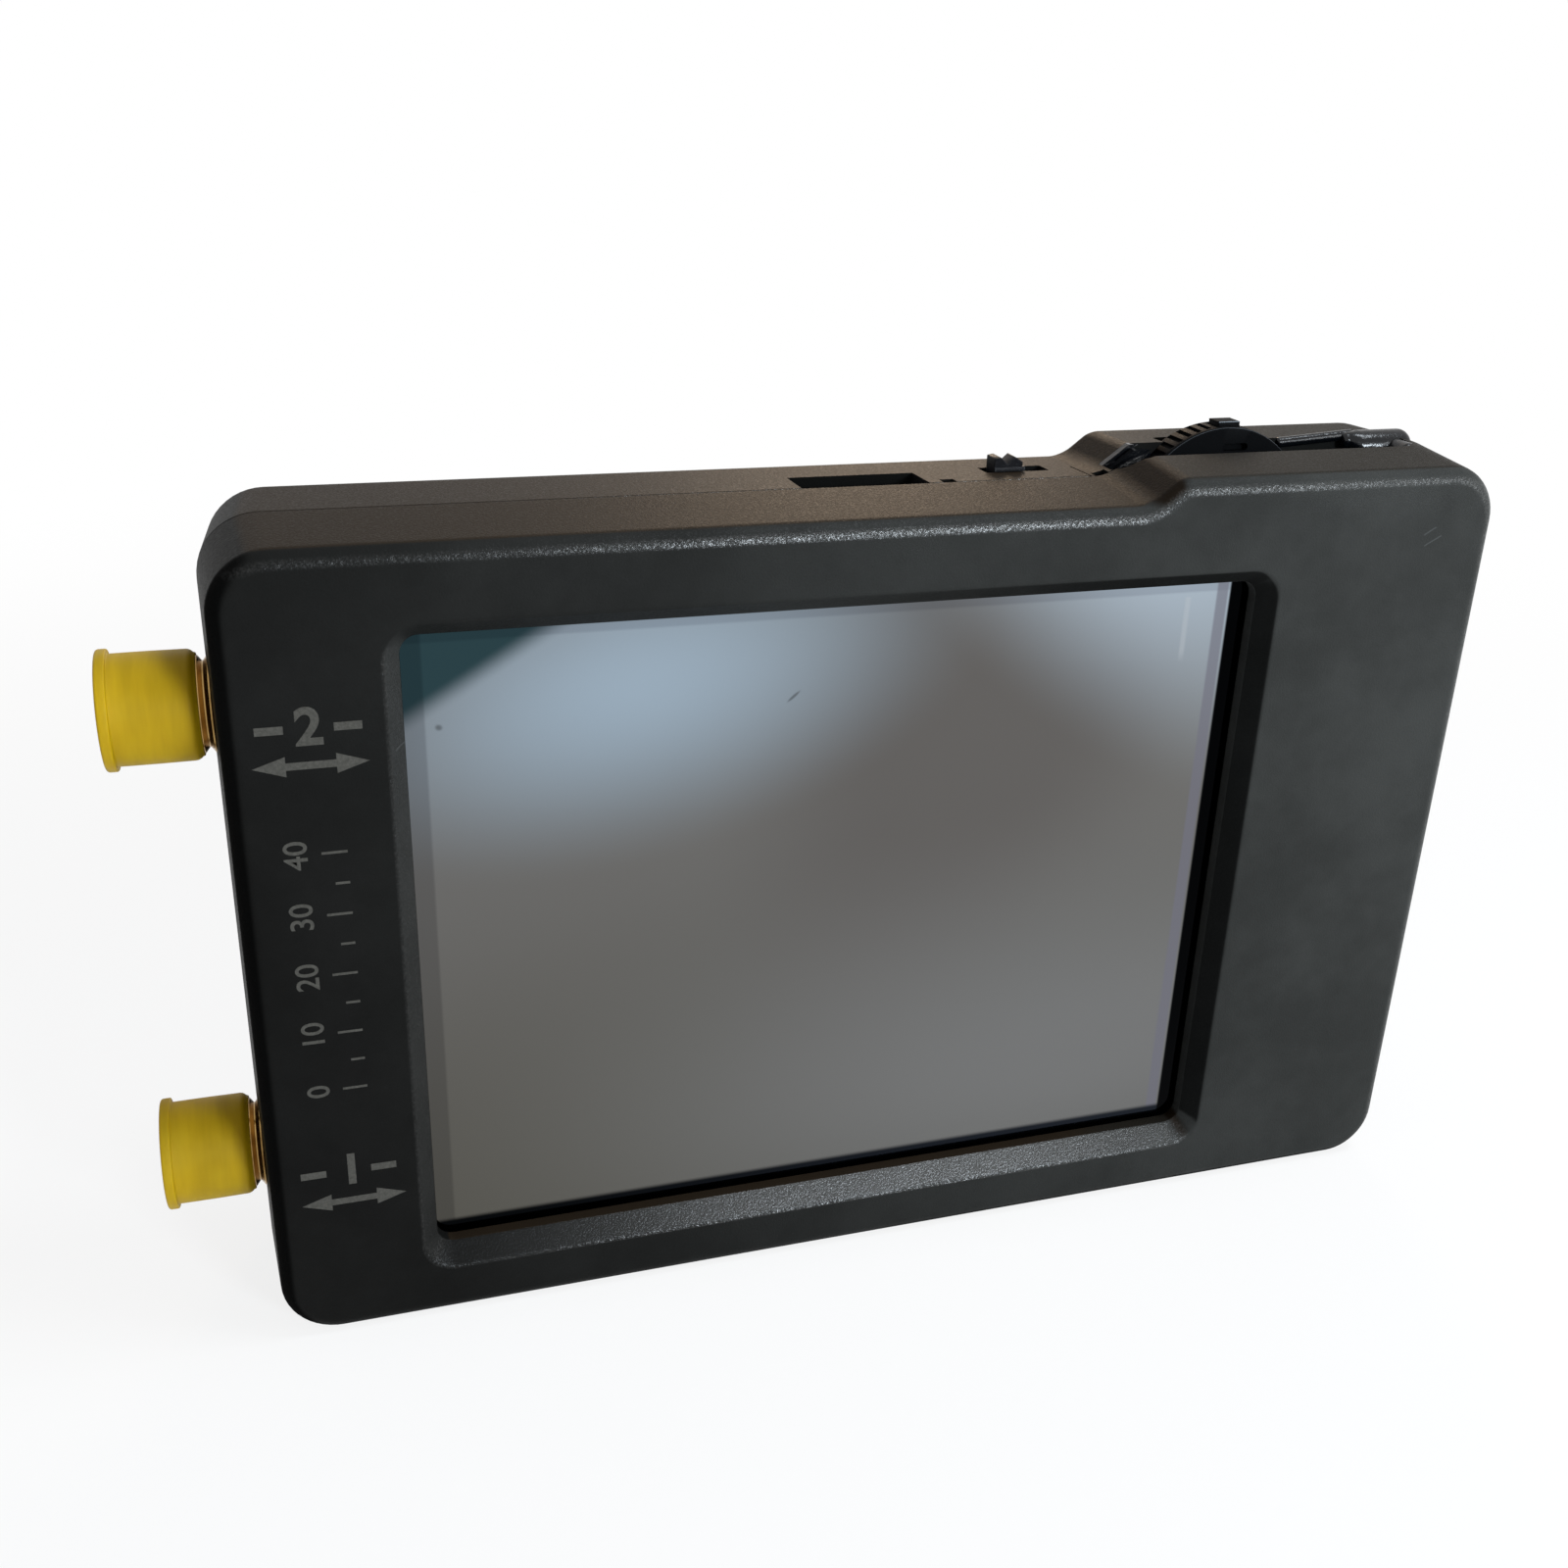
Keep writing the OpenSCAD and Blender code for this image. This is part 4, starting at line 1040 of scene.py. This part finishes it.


# %% [markdown]
# ## Black moulded plastic
# The case is matt black with a fine sparkling grain. Its own colour hardly changes, so the
# grain lives in the bump and in the roughness. Hands have polished the rounded edges
# that face up or to the right, so they get a thin clear coat whose weight follows the
# surface's tilt. The shell's colour also carries painted light and shade: it grows paler
# towards the right and the top, the top faces and some bevels get painted light, and the
# hump's left slope, some bevels, the left edge and the inside get painted shade. A little
# dust and a few hairline scratches keep the case from looking new.


# %% Black plastics
def black_plastic(name, color, roughness, scale, grain_mm, dusty=0.02, specular=0.03, coat=0.0):
    """Black plastic; returns the shader, place, colour, grain and surface tilt as well."""
    made, shader, place = start_finish(
        name, color, roughness, specular=specular, Coat_Roughness=0.2, Coat_Weight=coat
    )
    texture = use_group(grain, place, Scale=scale, Fine=0.5)
    speck = use_group(dust, place, Scale=420.0, Amount=dusty, Size=0.05)["Mask"]
    hair = use_group(scratch, place, Scale=260.0, Turn=0.5, Amount=0.3)["Mask"]
    lighter = tuple(1.35 * c + 0.0005 for c in color)
    shade = blend(texture["Patch"], color, lighter)
    shade = blend(product(hair, 0.09), shade, (0.06, 0.06, 0.06))
    shade = blend(product(speck, 0.5), shade, (0.22, 0.22, 0.22))
    wire(shade, shader, "Base Color")
    grain_roughness(shader, texture, roughness - 0.08, roughness + 0.1)
    set_bump(shader, texture["Height"], grain_mm)
    set_bump(shader, texture["Height"], grain_mm * 2.2, "Coat Normal")
    tilt = separate(add_node(place.id_data, "NewGeometry").outputs["Normal"])
    return made, shader, place, shade, texture, tilt


# %% Shell finish
# The tilt of a face along each axis and its place set the painted light and shade in its colour.
shell_black, shader, place, shade, texture, tilt = black_plastic(
    "shell_black", (0.0058, 0.0057, 0.0053), 0.46, 7500.0, 0.014
)
parts = separate(place)
# Painted light: the colour grows up to five times paler towards the right and the top.
toward = maths("MULTIPLY_ADD", parts[Z], 0.42, parts[X])
painted_light_ramp = remap(toward, at(15, 0, 0).x, at(112, 0, 0).x, soft=False)
shade = blend(painted_light_ramp, shade, tinted(shade, (4.9, 5.1, 5.2)))
# Painted light on the top faces: warm brown on the main top, greyer brown on the hump.
painted_top_light = blend(ramp(parts, X, 62, 66), (0.02, 0.014, 0.009), (0.0165, 0.0142, 0.0112))
shade = blend(remap(tilt[Z], 0.9, 0.97), shade, painted_top_light)
# Painted shade on the hump's left slope, a dark brown.
painted_slope_shade = product(
    remap(tilt[X], -0.2, -0.45), remap(tilt[Z], 0.3, 0.6), ramp(parts, X, 55, 58)
)
shade = blend(painted_slope_shade, shade, (0.0085, 0.0055, 0.0032))
frontal = remap(tilt[Y], -0.3, -0.5)
# Painted light on faces that look right and forward, such as the window's left bevel: 2.3 times
# paler.
shade = blend(product(remap(tilt[X], 0.3, 0.8), frontal), shade, tinted(shade, (2.3, 2.3, 2.3)))

# %% Painted shade on parts of the shell
# Painted shade, a quarter of the colour and rougher: the window's right and top bevels, the case's
# left edge and the faces inside the case.
right_bevel = product(
    remap(tilt[X], -0.3, -0.6), ramp(parts, X, 60, 62), remap(tilt[Z], 0.2, 0.05)
)
top_bevel = product(remap(tilt[Z], -0.3, -0.6), ramp(parts, X, 30, 66))
bevels = product(maths("MAXIMUM", right_bevel, top_bevel), frontal)
left_edge = product(
    remap(tilt[X], -0.15, -0.45), remap(tilt[Y], -0.15, -0.4), ramp(parts, X, 4, 3)
)
inside = product(
    remap(tilt[Z], 0.3, 0.1), ramp(parts, X, 8, 9), ramp(parts, X, 89, 88.4),
    ramp(parts, Y, 2.0, 2.4), ramp(parts, Y, 14.4, 14), ramp(parts, Z, 2, 3),
)
painted_shade = maths("MAXIMUM", maths("MAXIMUM", bevels, left_edge), inside)
wire(blend(painted_shade, shade, tinted(shade, (0.25, 0.25, 0.25))), shader, "Base Color")
rough = remap(texture["Height"], -0.2, 0.9, 0.38, 0.56)
wire(maths("MULTIPLY_ADD", painted_shade, 0.45, rough), shader, "Roughness")

# %% Polished edges of the shell
sloping = maths("MULTIPLY_ADD", tilt[X], 0.7, tilt[Z])
front = remap(tilt[Y], -0.1, -0.4)
edges = product(remap(sloping, 0.05, 0.28), remap(tilt[Z], 0.68, 0.42, 0.04, 1.0), front)
uneven = remap(texture["Height"], 0.1, 0.6, 1.0, 0.15)
mid_way = product(ramp(parts, X, 12, 38, 0.25, 1.0), ramp(parts, X, 86, 50, 0.35, 1.0))
ledge = product(ramp(parts, Z, 6.3, 6.1), remap(tilt[Z], 0.5, 0.7), front, mid_way, mid_way)
sheen = maths("MULTIPLY_ADD", ledge, 0.6, product(edges, uneven, mid_way))
wire(sheen, shader, "Coat Weight")
shader.inputs["Coat IOR"].default_value = 1.7

# %% Wheel, knob and bead
wheel_black, shader, place, shade, texture, tilt = black_plastic(
    "wheel_black", (0.0024, 0.0026, 0.003), 0.44, 9000.0, 0.005, 0.03, 0.012
)
# Painted highlight: a pale bluish arc on the front rim's chamfer and on other edges that face
# forward and up.
painted_rim_highlight = product(
    remap(tilt[Y], -0.96, -0.85), remap(tilt[Y], -0.3, -0.5), remap(tilt[Z], 0.1, 0.3)
)
wire(blend(product(painted_rim_highlight, 0.9), shade, (0.27, 0.3, 0.33)), shader, "Base Color")
knob_color, bead_color = (0.005, 0.005, 0.006), (0.0012, 0.0016, 0.0025)
knob_black = black_plastic("knob_black", knob_color, 0.4, 8000.0, 0.008, 0.03, 0.03, 0.1)[0]
bead_black = black_plastic("bead_black", bead_color, 0.3, 2500.0, 0.01, 0.05, 0.02, 0.6)[0]
print("finishes", [made.name for made in bpy.data.materials])

# %% [markdown]
# ## Vinyl
# The caps are soft vinyl in a golden yellow. Light enters the thin wall a little, and
# faint streaks run round it from the moulding.

# %% Vinyl
vinyl, shader, place = start_finish(
    "vinyl_yellow", (0.47, 0.3, 0.006), 0.5, specular=0.14,
    Subsurface_Weight=0.2, Subsurface_Scale=0.0006, Subsurface_Radius=(1.0, 0.7, 0.15),
)
streak = noise(vectors("MULTIPLY", place, (1, 0.12, 0.12)), 900.0, 3.0, 0.6)
cloud = noise(place, 260.0, 3.0)
shade = blend(remap(streak, 0.3, 0.75), (0.5, 0.315, 0.006), (0.4, 0.25, 0.004))
shade = blend(remap(cloud, 0.45, 0.75, 0, 0.4), shade, (0.54, 0.365, 0.016))
wire(shade, shader, "Base Color")
wire(remap(cloud, 0.3, 0.7, 0.42, 0.58), shader, "Roughness")
set_bump(shader, maths("ADD", streak, cloud), 0.012)

# %% [markdown]
# ## Metals
# Gilt brass for the ports and contacts, drawn steel for the socket and the small turned
# parts, tinned sheet for the shields and blackened steel for the screws. They share one
# recipe: a noise that is squeezed in one direction gives the drawing or turning lines,
# and a broad noise gives the handling marks in the colour and the roughness.


# %% Metals
def metal(name, light, dark, roughness, squeeze, scale, line_mm):
    spread = 0.12
    made, shader, place = start_finish(name, light, roughness, 1.0)
    marks = noise(place, 330.0, 4.0)
    wire(blend(remap(marks, 0.35, 0.7), light, dark), shader, "Base Color")
    rough = maths("MULTIPLY_ADD", remap(marks, 0.3, 0.7), spread, roughness - spread / 2)
    wire(rough, shader, "Roughness")
    set_bump(shader, noise(vectors("MULTIPLY", place, squeeze), scale, 3.0, 0.65), line_mm)
    return made


gilt, drawn_steel, tinned, screw_black = (
    metal(*values)
    for values in (
        ("gilt_brass", (0.42, 0.27, 0.1), (0.2, 0.11, 0.035), 0.24, (1, 0.1, 0.1), 3000.0, 0.004),
        ("drawn_steel", (0.6, 0.6, 0.6), (0.42, 0.42, 0.43), 0.3, (0.08, 1, 1), 4000.0, 0.004),
        ("tinned_sheet", (0.66, 0.66, 0.65), (0.5, 0.51, 0.52), 0.36, (1, 1, 0.1), 2500.0, 0.006),
        (
            "blackened_steel", (0.05, 0.05, 0.055), (0.03, 0.03, 0.032), 0.4,
            (1, 1, 1), 5000.0, 0.008,
        ),
    )
)

# %% [markdown]
# ## Touch glass
# The switched-off display behaves as a grey mirror. A metal with a tinted, very smooth
# surface mirrors the dark window walls as the real glass does, and its tint is a painted
# reflection of the room's soft shapes: cool and bright near the top, a dark teal corner,
# warm grey below. Dark bands along the bottom and right edges are a painted reflection
# of the window's walls. A margin outside the picture area is a little darker, and a few
# specks of dust lie on it.

# %% Glass
glass, shader, place = start_finish("touch_glass", (0.16, 0.16, 0.155), 0.03, 1.0)
parts = separate(place)


def soft_ellipse(place, middle, size, turn, inner):
    """1 inside a soft, turned ellipse round a point of the drawing, 0 outside."""
    centred = vectors("SUBTRACT", place, at(middle[0], CASE_T / 2, middle[1]))
    factors = (1 / (size[0] * MM), 0, 1 / (size[1] * MM))
    scaled = vectors("MULTIPLY", rotated(centred, "Y", -turn), factors)
    return remap(vectors("LENGTH", scaled), 1.0, inner)


def past_x(x, soft=0.12):
    return ramp(parts, X, x - soft, x + soft)


def past_z(z, soft=0.12):
    return ramp(parts, Z, z - soft, z + soft)


# Painted reflection of the room: the tint is lighter upwards.
shade = blend(past_x(42, 30), (0.0951, 0.0906, 0.0768), (0.0954, 0.0935, 0.0804))
shade = blend(past_z(23, 17), shade, (0.15, 0.147, 0.142))
# Soft ellipses of painted reflection: middle, size, turn, inner edge and tint.
room = (
    ((53.93, 48.66), (47.2, 19.5), -1.2, 0.35, (0.121, 0.115, 0.11)),
    ((26.64, 47.04), (26.7, 13.6), -0.186, 0.0, (0.315, 0.397, 0.474)),
    ((56.31, 70), (45.5, 20.7), 0.888, 0.097, (0.56, 0.682, 0.8)),
    ((62.66, 13.64), (60, 23.2), -0.0505, 0.062, (0.179, 0.181, 0.181)),
)
for middle, size, turn, inner, tint in room:
    shade = blend(soft_ellipse(place, middle, size, turn, inner), shade, tint)
# Painted reflection: a dark teal corner at the upper left.
CORNER_SLOPE, CORNER_Z = -0.6, 38.75
corner = maths("MULTIPLY_ADD", parts[X], CORNER_SLOPE, parts[Z])
bound = at(0, 0, CORNER_Z).z + CORNER_SLOPE * at(0, 0, 0).x
shade = blend(remap(corner, bound - 0.0011, bound + 0.0009), shade, (0.024, 0.052, 0.061))

# %% Borders of the picture
LEFT_X, TOP_Z, BAND_X, RIGHT_X, LOWER_Z, EDGE_Z = 12.95, 50.85, (69.4, 70.3), 70.45, 6.62, 5.92
shade = blend(past_x(LEFT_X), tinted(shade, (0.72, 0.72, 0.73)), shade)
shade = blend(past_z(TOP_Z), shade, tinted(shade, (0.8, 0.8, 0.82)))
lavender = maths("SUBTRACT", past_x(BAND_X[0]), past_x(BAND_X[1]))
shade = blend(product(lavender, 0.7), shade, (0.16, 0.16, 0.2))
# Painted reflection of the window's dark walls: a navy band along the bottom of the glass, and
# near-black strips at its bottom and right edges.
navy = blend(past_x(40, 28), (0.002, 0.0025, 0.003), (0.012, 0.015, 0.021))
shade = blend(past_z(LOWER_Z, 0.22), navy, shade)
shade = blend(past_z(EDGE_Z), (0.001, 0.001, 0.0015), shade)
shade = blend(past_x(RIGHT_X, 0.1), shade, (0.001, 0.0012, 0.0015))

# %% Streak, dust and haze on the glass
strip = maths("SUBTRACT", past_x(66.9), past_x(67.3))
streak = product(strip, past_z(46.0, 0.6), remap(past_z(50.5), 1, 0), 0.3)
shade = blend(streak, shade, (0.5, 0.53, 0.56))
blot = soft_ellipse(place, (13.8, 45.1), (0.35, 0.3), 0.4, 0.2)
hair = soft_ellipse(place, (37.6, 45.3), (0.75, 0.14), -0.7, 0.4)
shade = blend(product(maths("MAXIMUM", blot, hair), 0.6), shade, (0.05, 0.055, 0.06))
speck = use_group(dust, place, Scale=150.0, Amount=0.05, Size=0.02)["Mask"]
wire(blend(product(speck, 0.8), shade, (0.62, 0.64, 0.66)), shader, "Base Color")
haze = remap(noise(place, 70.0, 3.0), 0.35, 0.75, 0.02, 0.07)
wire(maths("ADD", haze, product(speck, 0.4)), shader, "Roughness")

# %% [markdown]
# ## Marks
# A laser turns the black plastic grey. The burnt edge of each stroke is a little
# lighter and rougher, which a fine noise stands in for.

# %% Marks
laser_grey, shader, place = start_finish("laser_grey", (0.055, 0.052, 0.045), 0.6, specular=0.15)
height = patchy_grain(shader, place, 5200.0, 0.6, 0.5, 0.7)["Height"]
wire(blend(height, (0.045, 0.043, 0.037), (0.08, 0.076, 0.066)), shader, "Base Color")
set_bump(shader, height, 0.02)

# %% [markdown]
# ## Inside
# The board and what stands on it are seen only through the slots, but they still get
# finishes of their own. One helper makes the plain ones: a base colour, a second
# colour that a noise lays over it, and a bump at the right size.


# %% Plain inner finishes
def plain_finish(name, color, other, roughness, scale, bump_mm, **extra):
    made, shader, place = start_finish(name, color, roughness, specular=0.4, **extra)
    texture = use_group(grain, place, Scale=scale, Fine=0.4)
    speck = use_group(dust, place, Scale=500.0, Amount=0.04, Size=0.06)["Mask"]
    shade = blend(texture["Patch"], color, other)
    wire(blend(product(speck, 0.4), shade, (0.4, 0.4, 0.4)), shader, "Base Color")
    grain_roughness(shader, texture, roughness - 0.07, roughness + 0.09)
    set_bump(shader, texture["Height"], bump_mm)
    return made


ptfe = plain_finish(
    "ptfe_white", (0.78, 0.77, 0.72), (0.7, 0.68, 0.62), 0.4, 5000.0, 0.006,
    Subsurface_Weight=0.1, Subsurface_Scale=0.0005,
)
nylon, tape_black, tape_pale, epoxy, ceramic, foam, frame_grey, panel_dark = (
    plain_finish(*values)
    for values in (
        ("nylon", (0.72, 0.7, 0.62), (0.64, 0.61, 0.52), 0.45, 4000.0, 0.01),
        ("tape_black", (0.012, 0.012, 0.012), (0.022, 0.022, 0.022), 0.6, 3000.0, 0.02),
        ("tape_pale", (0.6, 0.58, 0.5), (0.68, 0.66, 0.6), 0.65, 2500.0, 0.03),
        ("chip_epoxy", (0.014, 0.014, 0.015), (0.026, 0.026, 0.027), 0.5, 7000.0, 0.01),
        ("ceramic", (0.3, 0.22, 0.14), (0.42, 0.34, 0.24), 0.4, 6000.0, 0.008),
        ("foam_black", (0.02, 0.02, 0.021), (0.04, 0.04, 0.041), 0.85, 1800.0, 0.12),
        ("jog_frame_grey", (0.03, 0.03, 0.032), (0.05, 0.05, 0.052), 0.5, 5000.0, 0.01),
        ("display_dark", (0.02, 0.021, 0.023), (0.03, 0.031, 0.034), 0.2, 2500.0, 0.003),
    )
)

# %% Board
board, shader, place = start_finish("board_mask", (0.012, 0.07, 0.035), 0.28, Coat_Weight=0.3)
tracks = add_node(
    place.id_data, "TexBrick", {"offset": 0.37, "squash": 1.0},
    Vector=rotated(place, "X", math.pi / 2), Scale=420.0, Mortar_Size=0.05,
    Brick_Width=1.6, Row_Height=0.34,
).outputs["Fac"]
wire(blend(tracks, (0.010, 0.062, 0.03), (0.02, 0.1, 0.05)), shader, "Base Color")
height = patchy_grain(shader, place, 1500.0, 0.2, 0.22, 0.36)["Height"]
set_bump(shader, maths("MULTIPLY_ADD", height, 0.2, tracks), 0.02)

# %% Flex, pouch and leads
flex, shader, place = start_finish("flex_amber", (0.5, 0.2, 0.03), 0.3)
bands = {"bands_direction": "Z"}
lanes = add_node(place.id_data, "TexWave", bands, Vector=place, Scale=700.0, Distortion=0.0)
wire(blend(lanes.outputs[1], (0.42, 0.15, 0.02), (0.62, 0.3, 0.07)), shader, "Base Color")
patchy_grain(shader, place, 1500.0, 0.2, 0.24, 0.4)
set_bump(shader, lanes.outputs[1], 0.01)

foil, shader, place = start_finish("pouch_foil", (0.55, 0.57, 0.6), 0.35, 0.9)
creases = noise(place, 240.0, 5.0, 0.7)
wire(blend(remap(creases, 0.35, 0.7), (0.6, 0.62, 0.65), (0.42, 0.43, 0.46)), shader, "Base Color")
wire(remap(creases, 0.3, 0.7, 0.28, 0.46), shader, "Roughness")
set_bump(shader, creases, 0.25)

lead, shader, place = start_finish("lead_pvc", (0.4, 0.01, 0.01), 0.4)
low_lead, high_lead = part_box("battery_leads")
upper = maths("GREATER_THAN", separate(place)[Z], (low_lead[Z] + high_lead[Z]) / 2)
wire(blend(upper, (0.012, 0.012, 0.012), (0.42, 0.012, 0.01)), shader, "Base Color")
height = patchy_grain(shader, place, 3000.0, 0.3, 0.32, 0.5)["Height"]
set_bump(shader, height, 0.01)

# %% [markdown]
# ## Put the finishes on
# A carried-over engineering node keeps its mesh and gets a finish in its slot. A new
# piece is listed with the node it stands for; that node is hidden, and the piece rides on its body.

# %% Carried-over nodes
finishes = {
    tape_black: "touch_tape usb_tongue", tape_pale: "display_tape", panel_dark: "display_module",
    flex: "display_flex", board: "main_board", tinned: "rf_shield_high rf_shield_low switch_body",
    epoxy: "processor signal_chips", ceramic: "small_parts", frame_grey: "jog_body",
    drawn_steel: "crystals usb_shell jog_axle jog_spring",
    nylon: "jog_carrier battery_plug battery_socket", lead: "battery_leads",
    ptfe: "port_high_insulator port_low_insulator", gilt: "port_high_contact port_low_contact",
    foil: "battery", foam: "battery_pad",
}
finish_of = {node: finish for finish, names in finishes.items() for node in names.split()}
for name, finish in finish_of.items():
    slots = nodes[name].material_slots
    if not slots:
        nodes[name].data.materials.append(finish)
    for place_in in slots:
        place_in.material = finish

# %% New pieces
bodies = frame["record"]["behaviour"]["bodies"]
new_pieces = [
    (front_cover, "front_shell", shell_black), (back_cover, "back_shell", shell_black),
    (channel_bead, "channel_rim", bead_black), (touch_glass, "touch_panel", glass),
    (slide_knob, "switch_knob", knob_black), (jog_wheel, "jog_wheel", wheel_black),
    (ports["high"], "port_high_body", gilt), (ports["low"], "port_low_body", gilt),
    (caps["high"], "dust_cap_high", vinyl), (caps["low"], "dust_cap_low", vinyl),
    (cover_screws, "case_screws", screw_black),
]
for piece, node, finish in new_pieces:
    piece.data.materials.clear()
    piece.data.materials.append(finish)
    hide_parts(node)
    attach(piece, next(body for body, members in bodies.items() if node in members))
face_marks.data.materials.append(laser_grey)
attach(face_marks, "case")
print("finished nodes", len(finish_of), "new pieces", len(new_pieces) + 1)

# %% [markdown]
# ## Studio
# The floor is pale and wide. Close to the object it is a real matt surface that takes
# the shadow; further out it passes into plain white, as the world does for the camera
# and for mirrors. Soft lamps stand in front to the right, above and behind.

# %% Floor
clear_selection()
bpy.ops.mesh.primitive_plane_add(size=8, location=(0, 0, 0))
floor = bpy.context.object
floor.name = "floor"


def seen_direct(tree):
    """1 for camera, glossy and transmission rays."""
    path = add_node(tree, "LightPath").outputs
    first = maths("MAXIMUM", path["Is Camera Ray"], path["Is Glossy Ray"])
    return maths("MAXIMUM", first, path["Is Transmission Ray"])


floor_paint, shader, place = start_finish("floor_paint", (0.88, 0.88, 0.88), 0.9, specular=0.1)
paper = noise(place, 900.0, 2.0)
wire(blend(paper, (0.87, 0.87, 0.87), (0.9, 0.9, 0.9)), shader, "Base Color")
tree = floor_paint.node_tree
fade = product(remap(vectors("LENGTH", place), 0.07, 0.26, 0.82, 1.0), seen_direct(tree))
white = add_node(tree, "Emission", Color=(1, 1, 1, 1), Strength=1.0)
mixed = add_node(tree, "MixShader", _0=fade, _1=shader.outputs[0], _2=white.outputs[0])
tree.links.new(mixed.outputs[0], tree.nodes["Material Output"].inputs[0])
floor.data.materials.append(floor_paint)

# %% World and lamps
world = bpy.data.worlds.new("world")
scene.world = world
world.use_nodes = True
tree = world.node_tree
tree.nodes.clear()
white = add_node(tree, "Background", Color=(1, 1, 1, 1), Strength=1.0)
dim = add_node(tree, "Background", Color=(0.97, 0.98, 1, 1), Strength=0.4)
mixed = add_node(tree, "MixShader", _0=seen_direct(tree), _1=dim.outputs[0], _2=white.outputs[0])
add_node(tree, "OutputWorld", _0=mixed.outputs[0])


def add_lamp(name, place, aim, size, power, color):
    light = bpy.data.lights.new(name, "AREA")
    light.shape = "RECTANGLE"
    light.size, light.size_y = size
    light.energy = power
    light.color = color
    lamp = bpy.data.objects.new(name, light)
    scene.collection.objects.link(lamp)
    lamp.location = place
    lamp.rotation_mode = "QUATERNION"
    lamp.rotation_quaternion = (Vector(aim) - Vector(place)).to_track_quat("-Z", "Y")


CENTRE = (0, 0, 0.04)
add_lamp("window", (0.19, -0.44, 0.18), CENTRE, (0.1, 0.08), 1.8, (0.82, 0.92, 1))
add_lamp("overhead", (0.165, -0.045, 0.43), CENTRE, (0.12, 0.12), 0.75, (0.85, 0.93, 1))
add_lamp("behind", (0.17, 0.435, 0.215), CENTRE, (0.12, 0.08), 0.38, (1, 0.74, 0.5))
add_lamp("near_right", (0.17, -0.12, 0.10), (0.03, 0, 0.03), (0.08, 0.08), 0.12, (0.95, 0.98, 1))
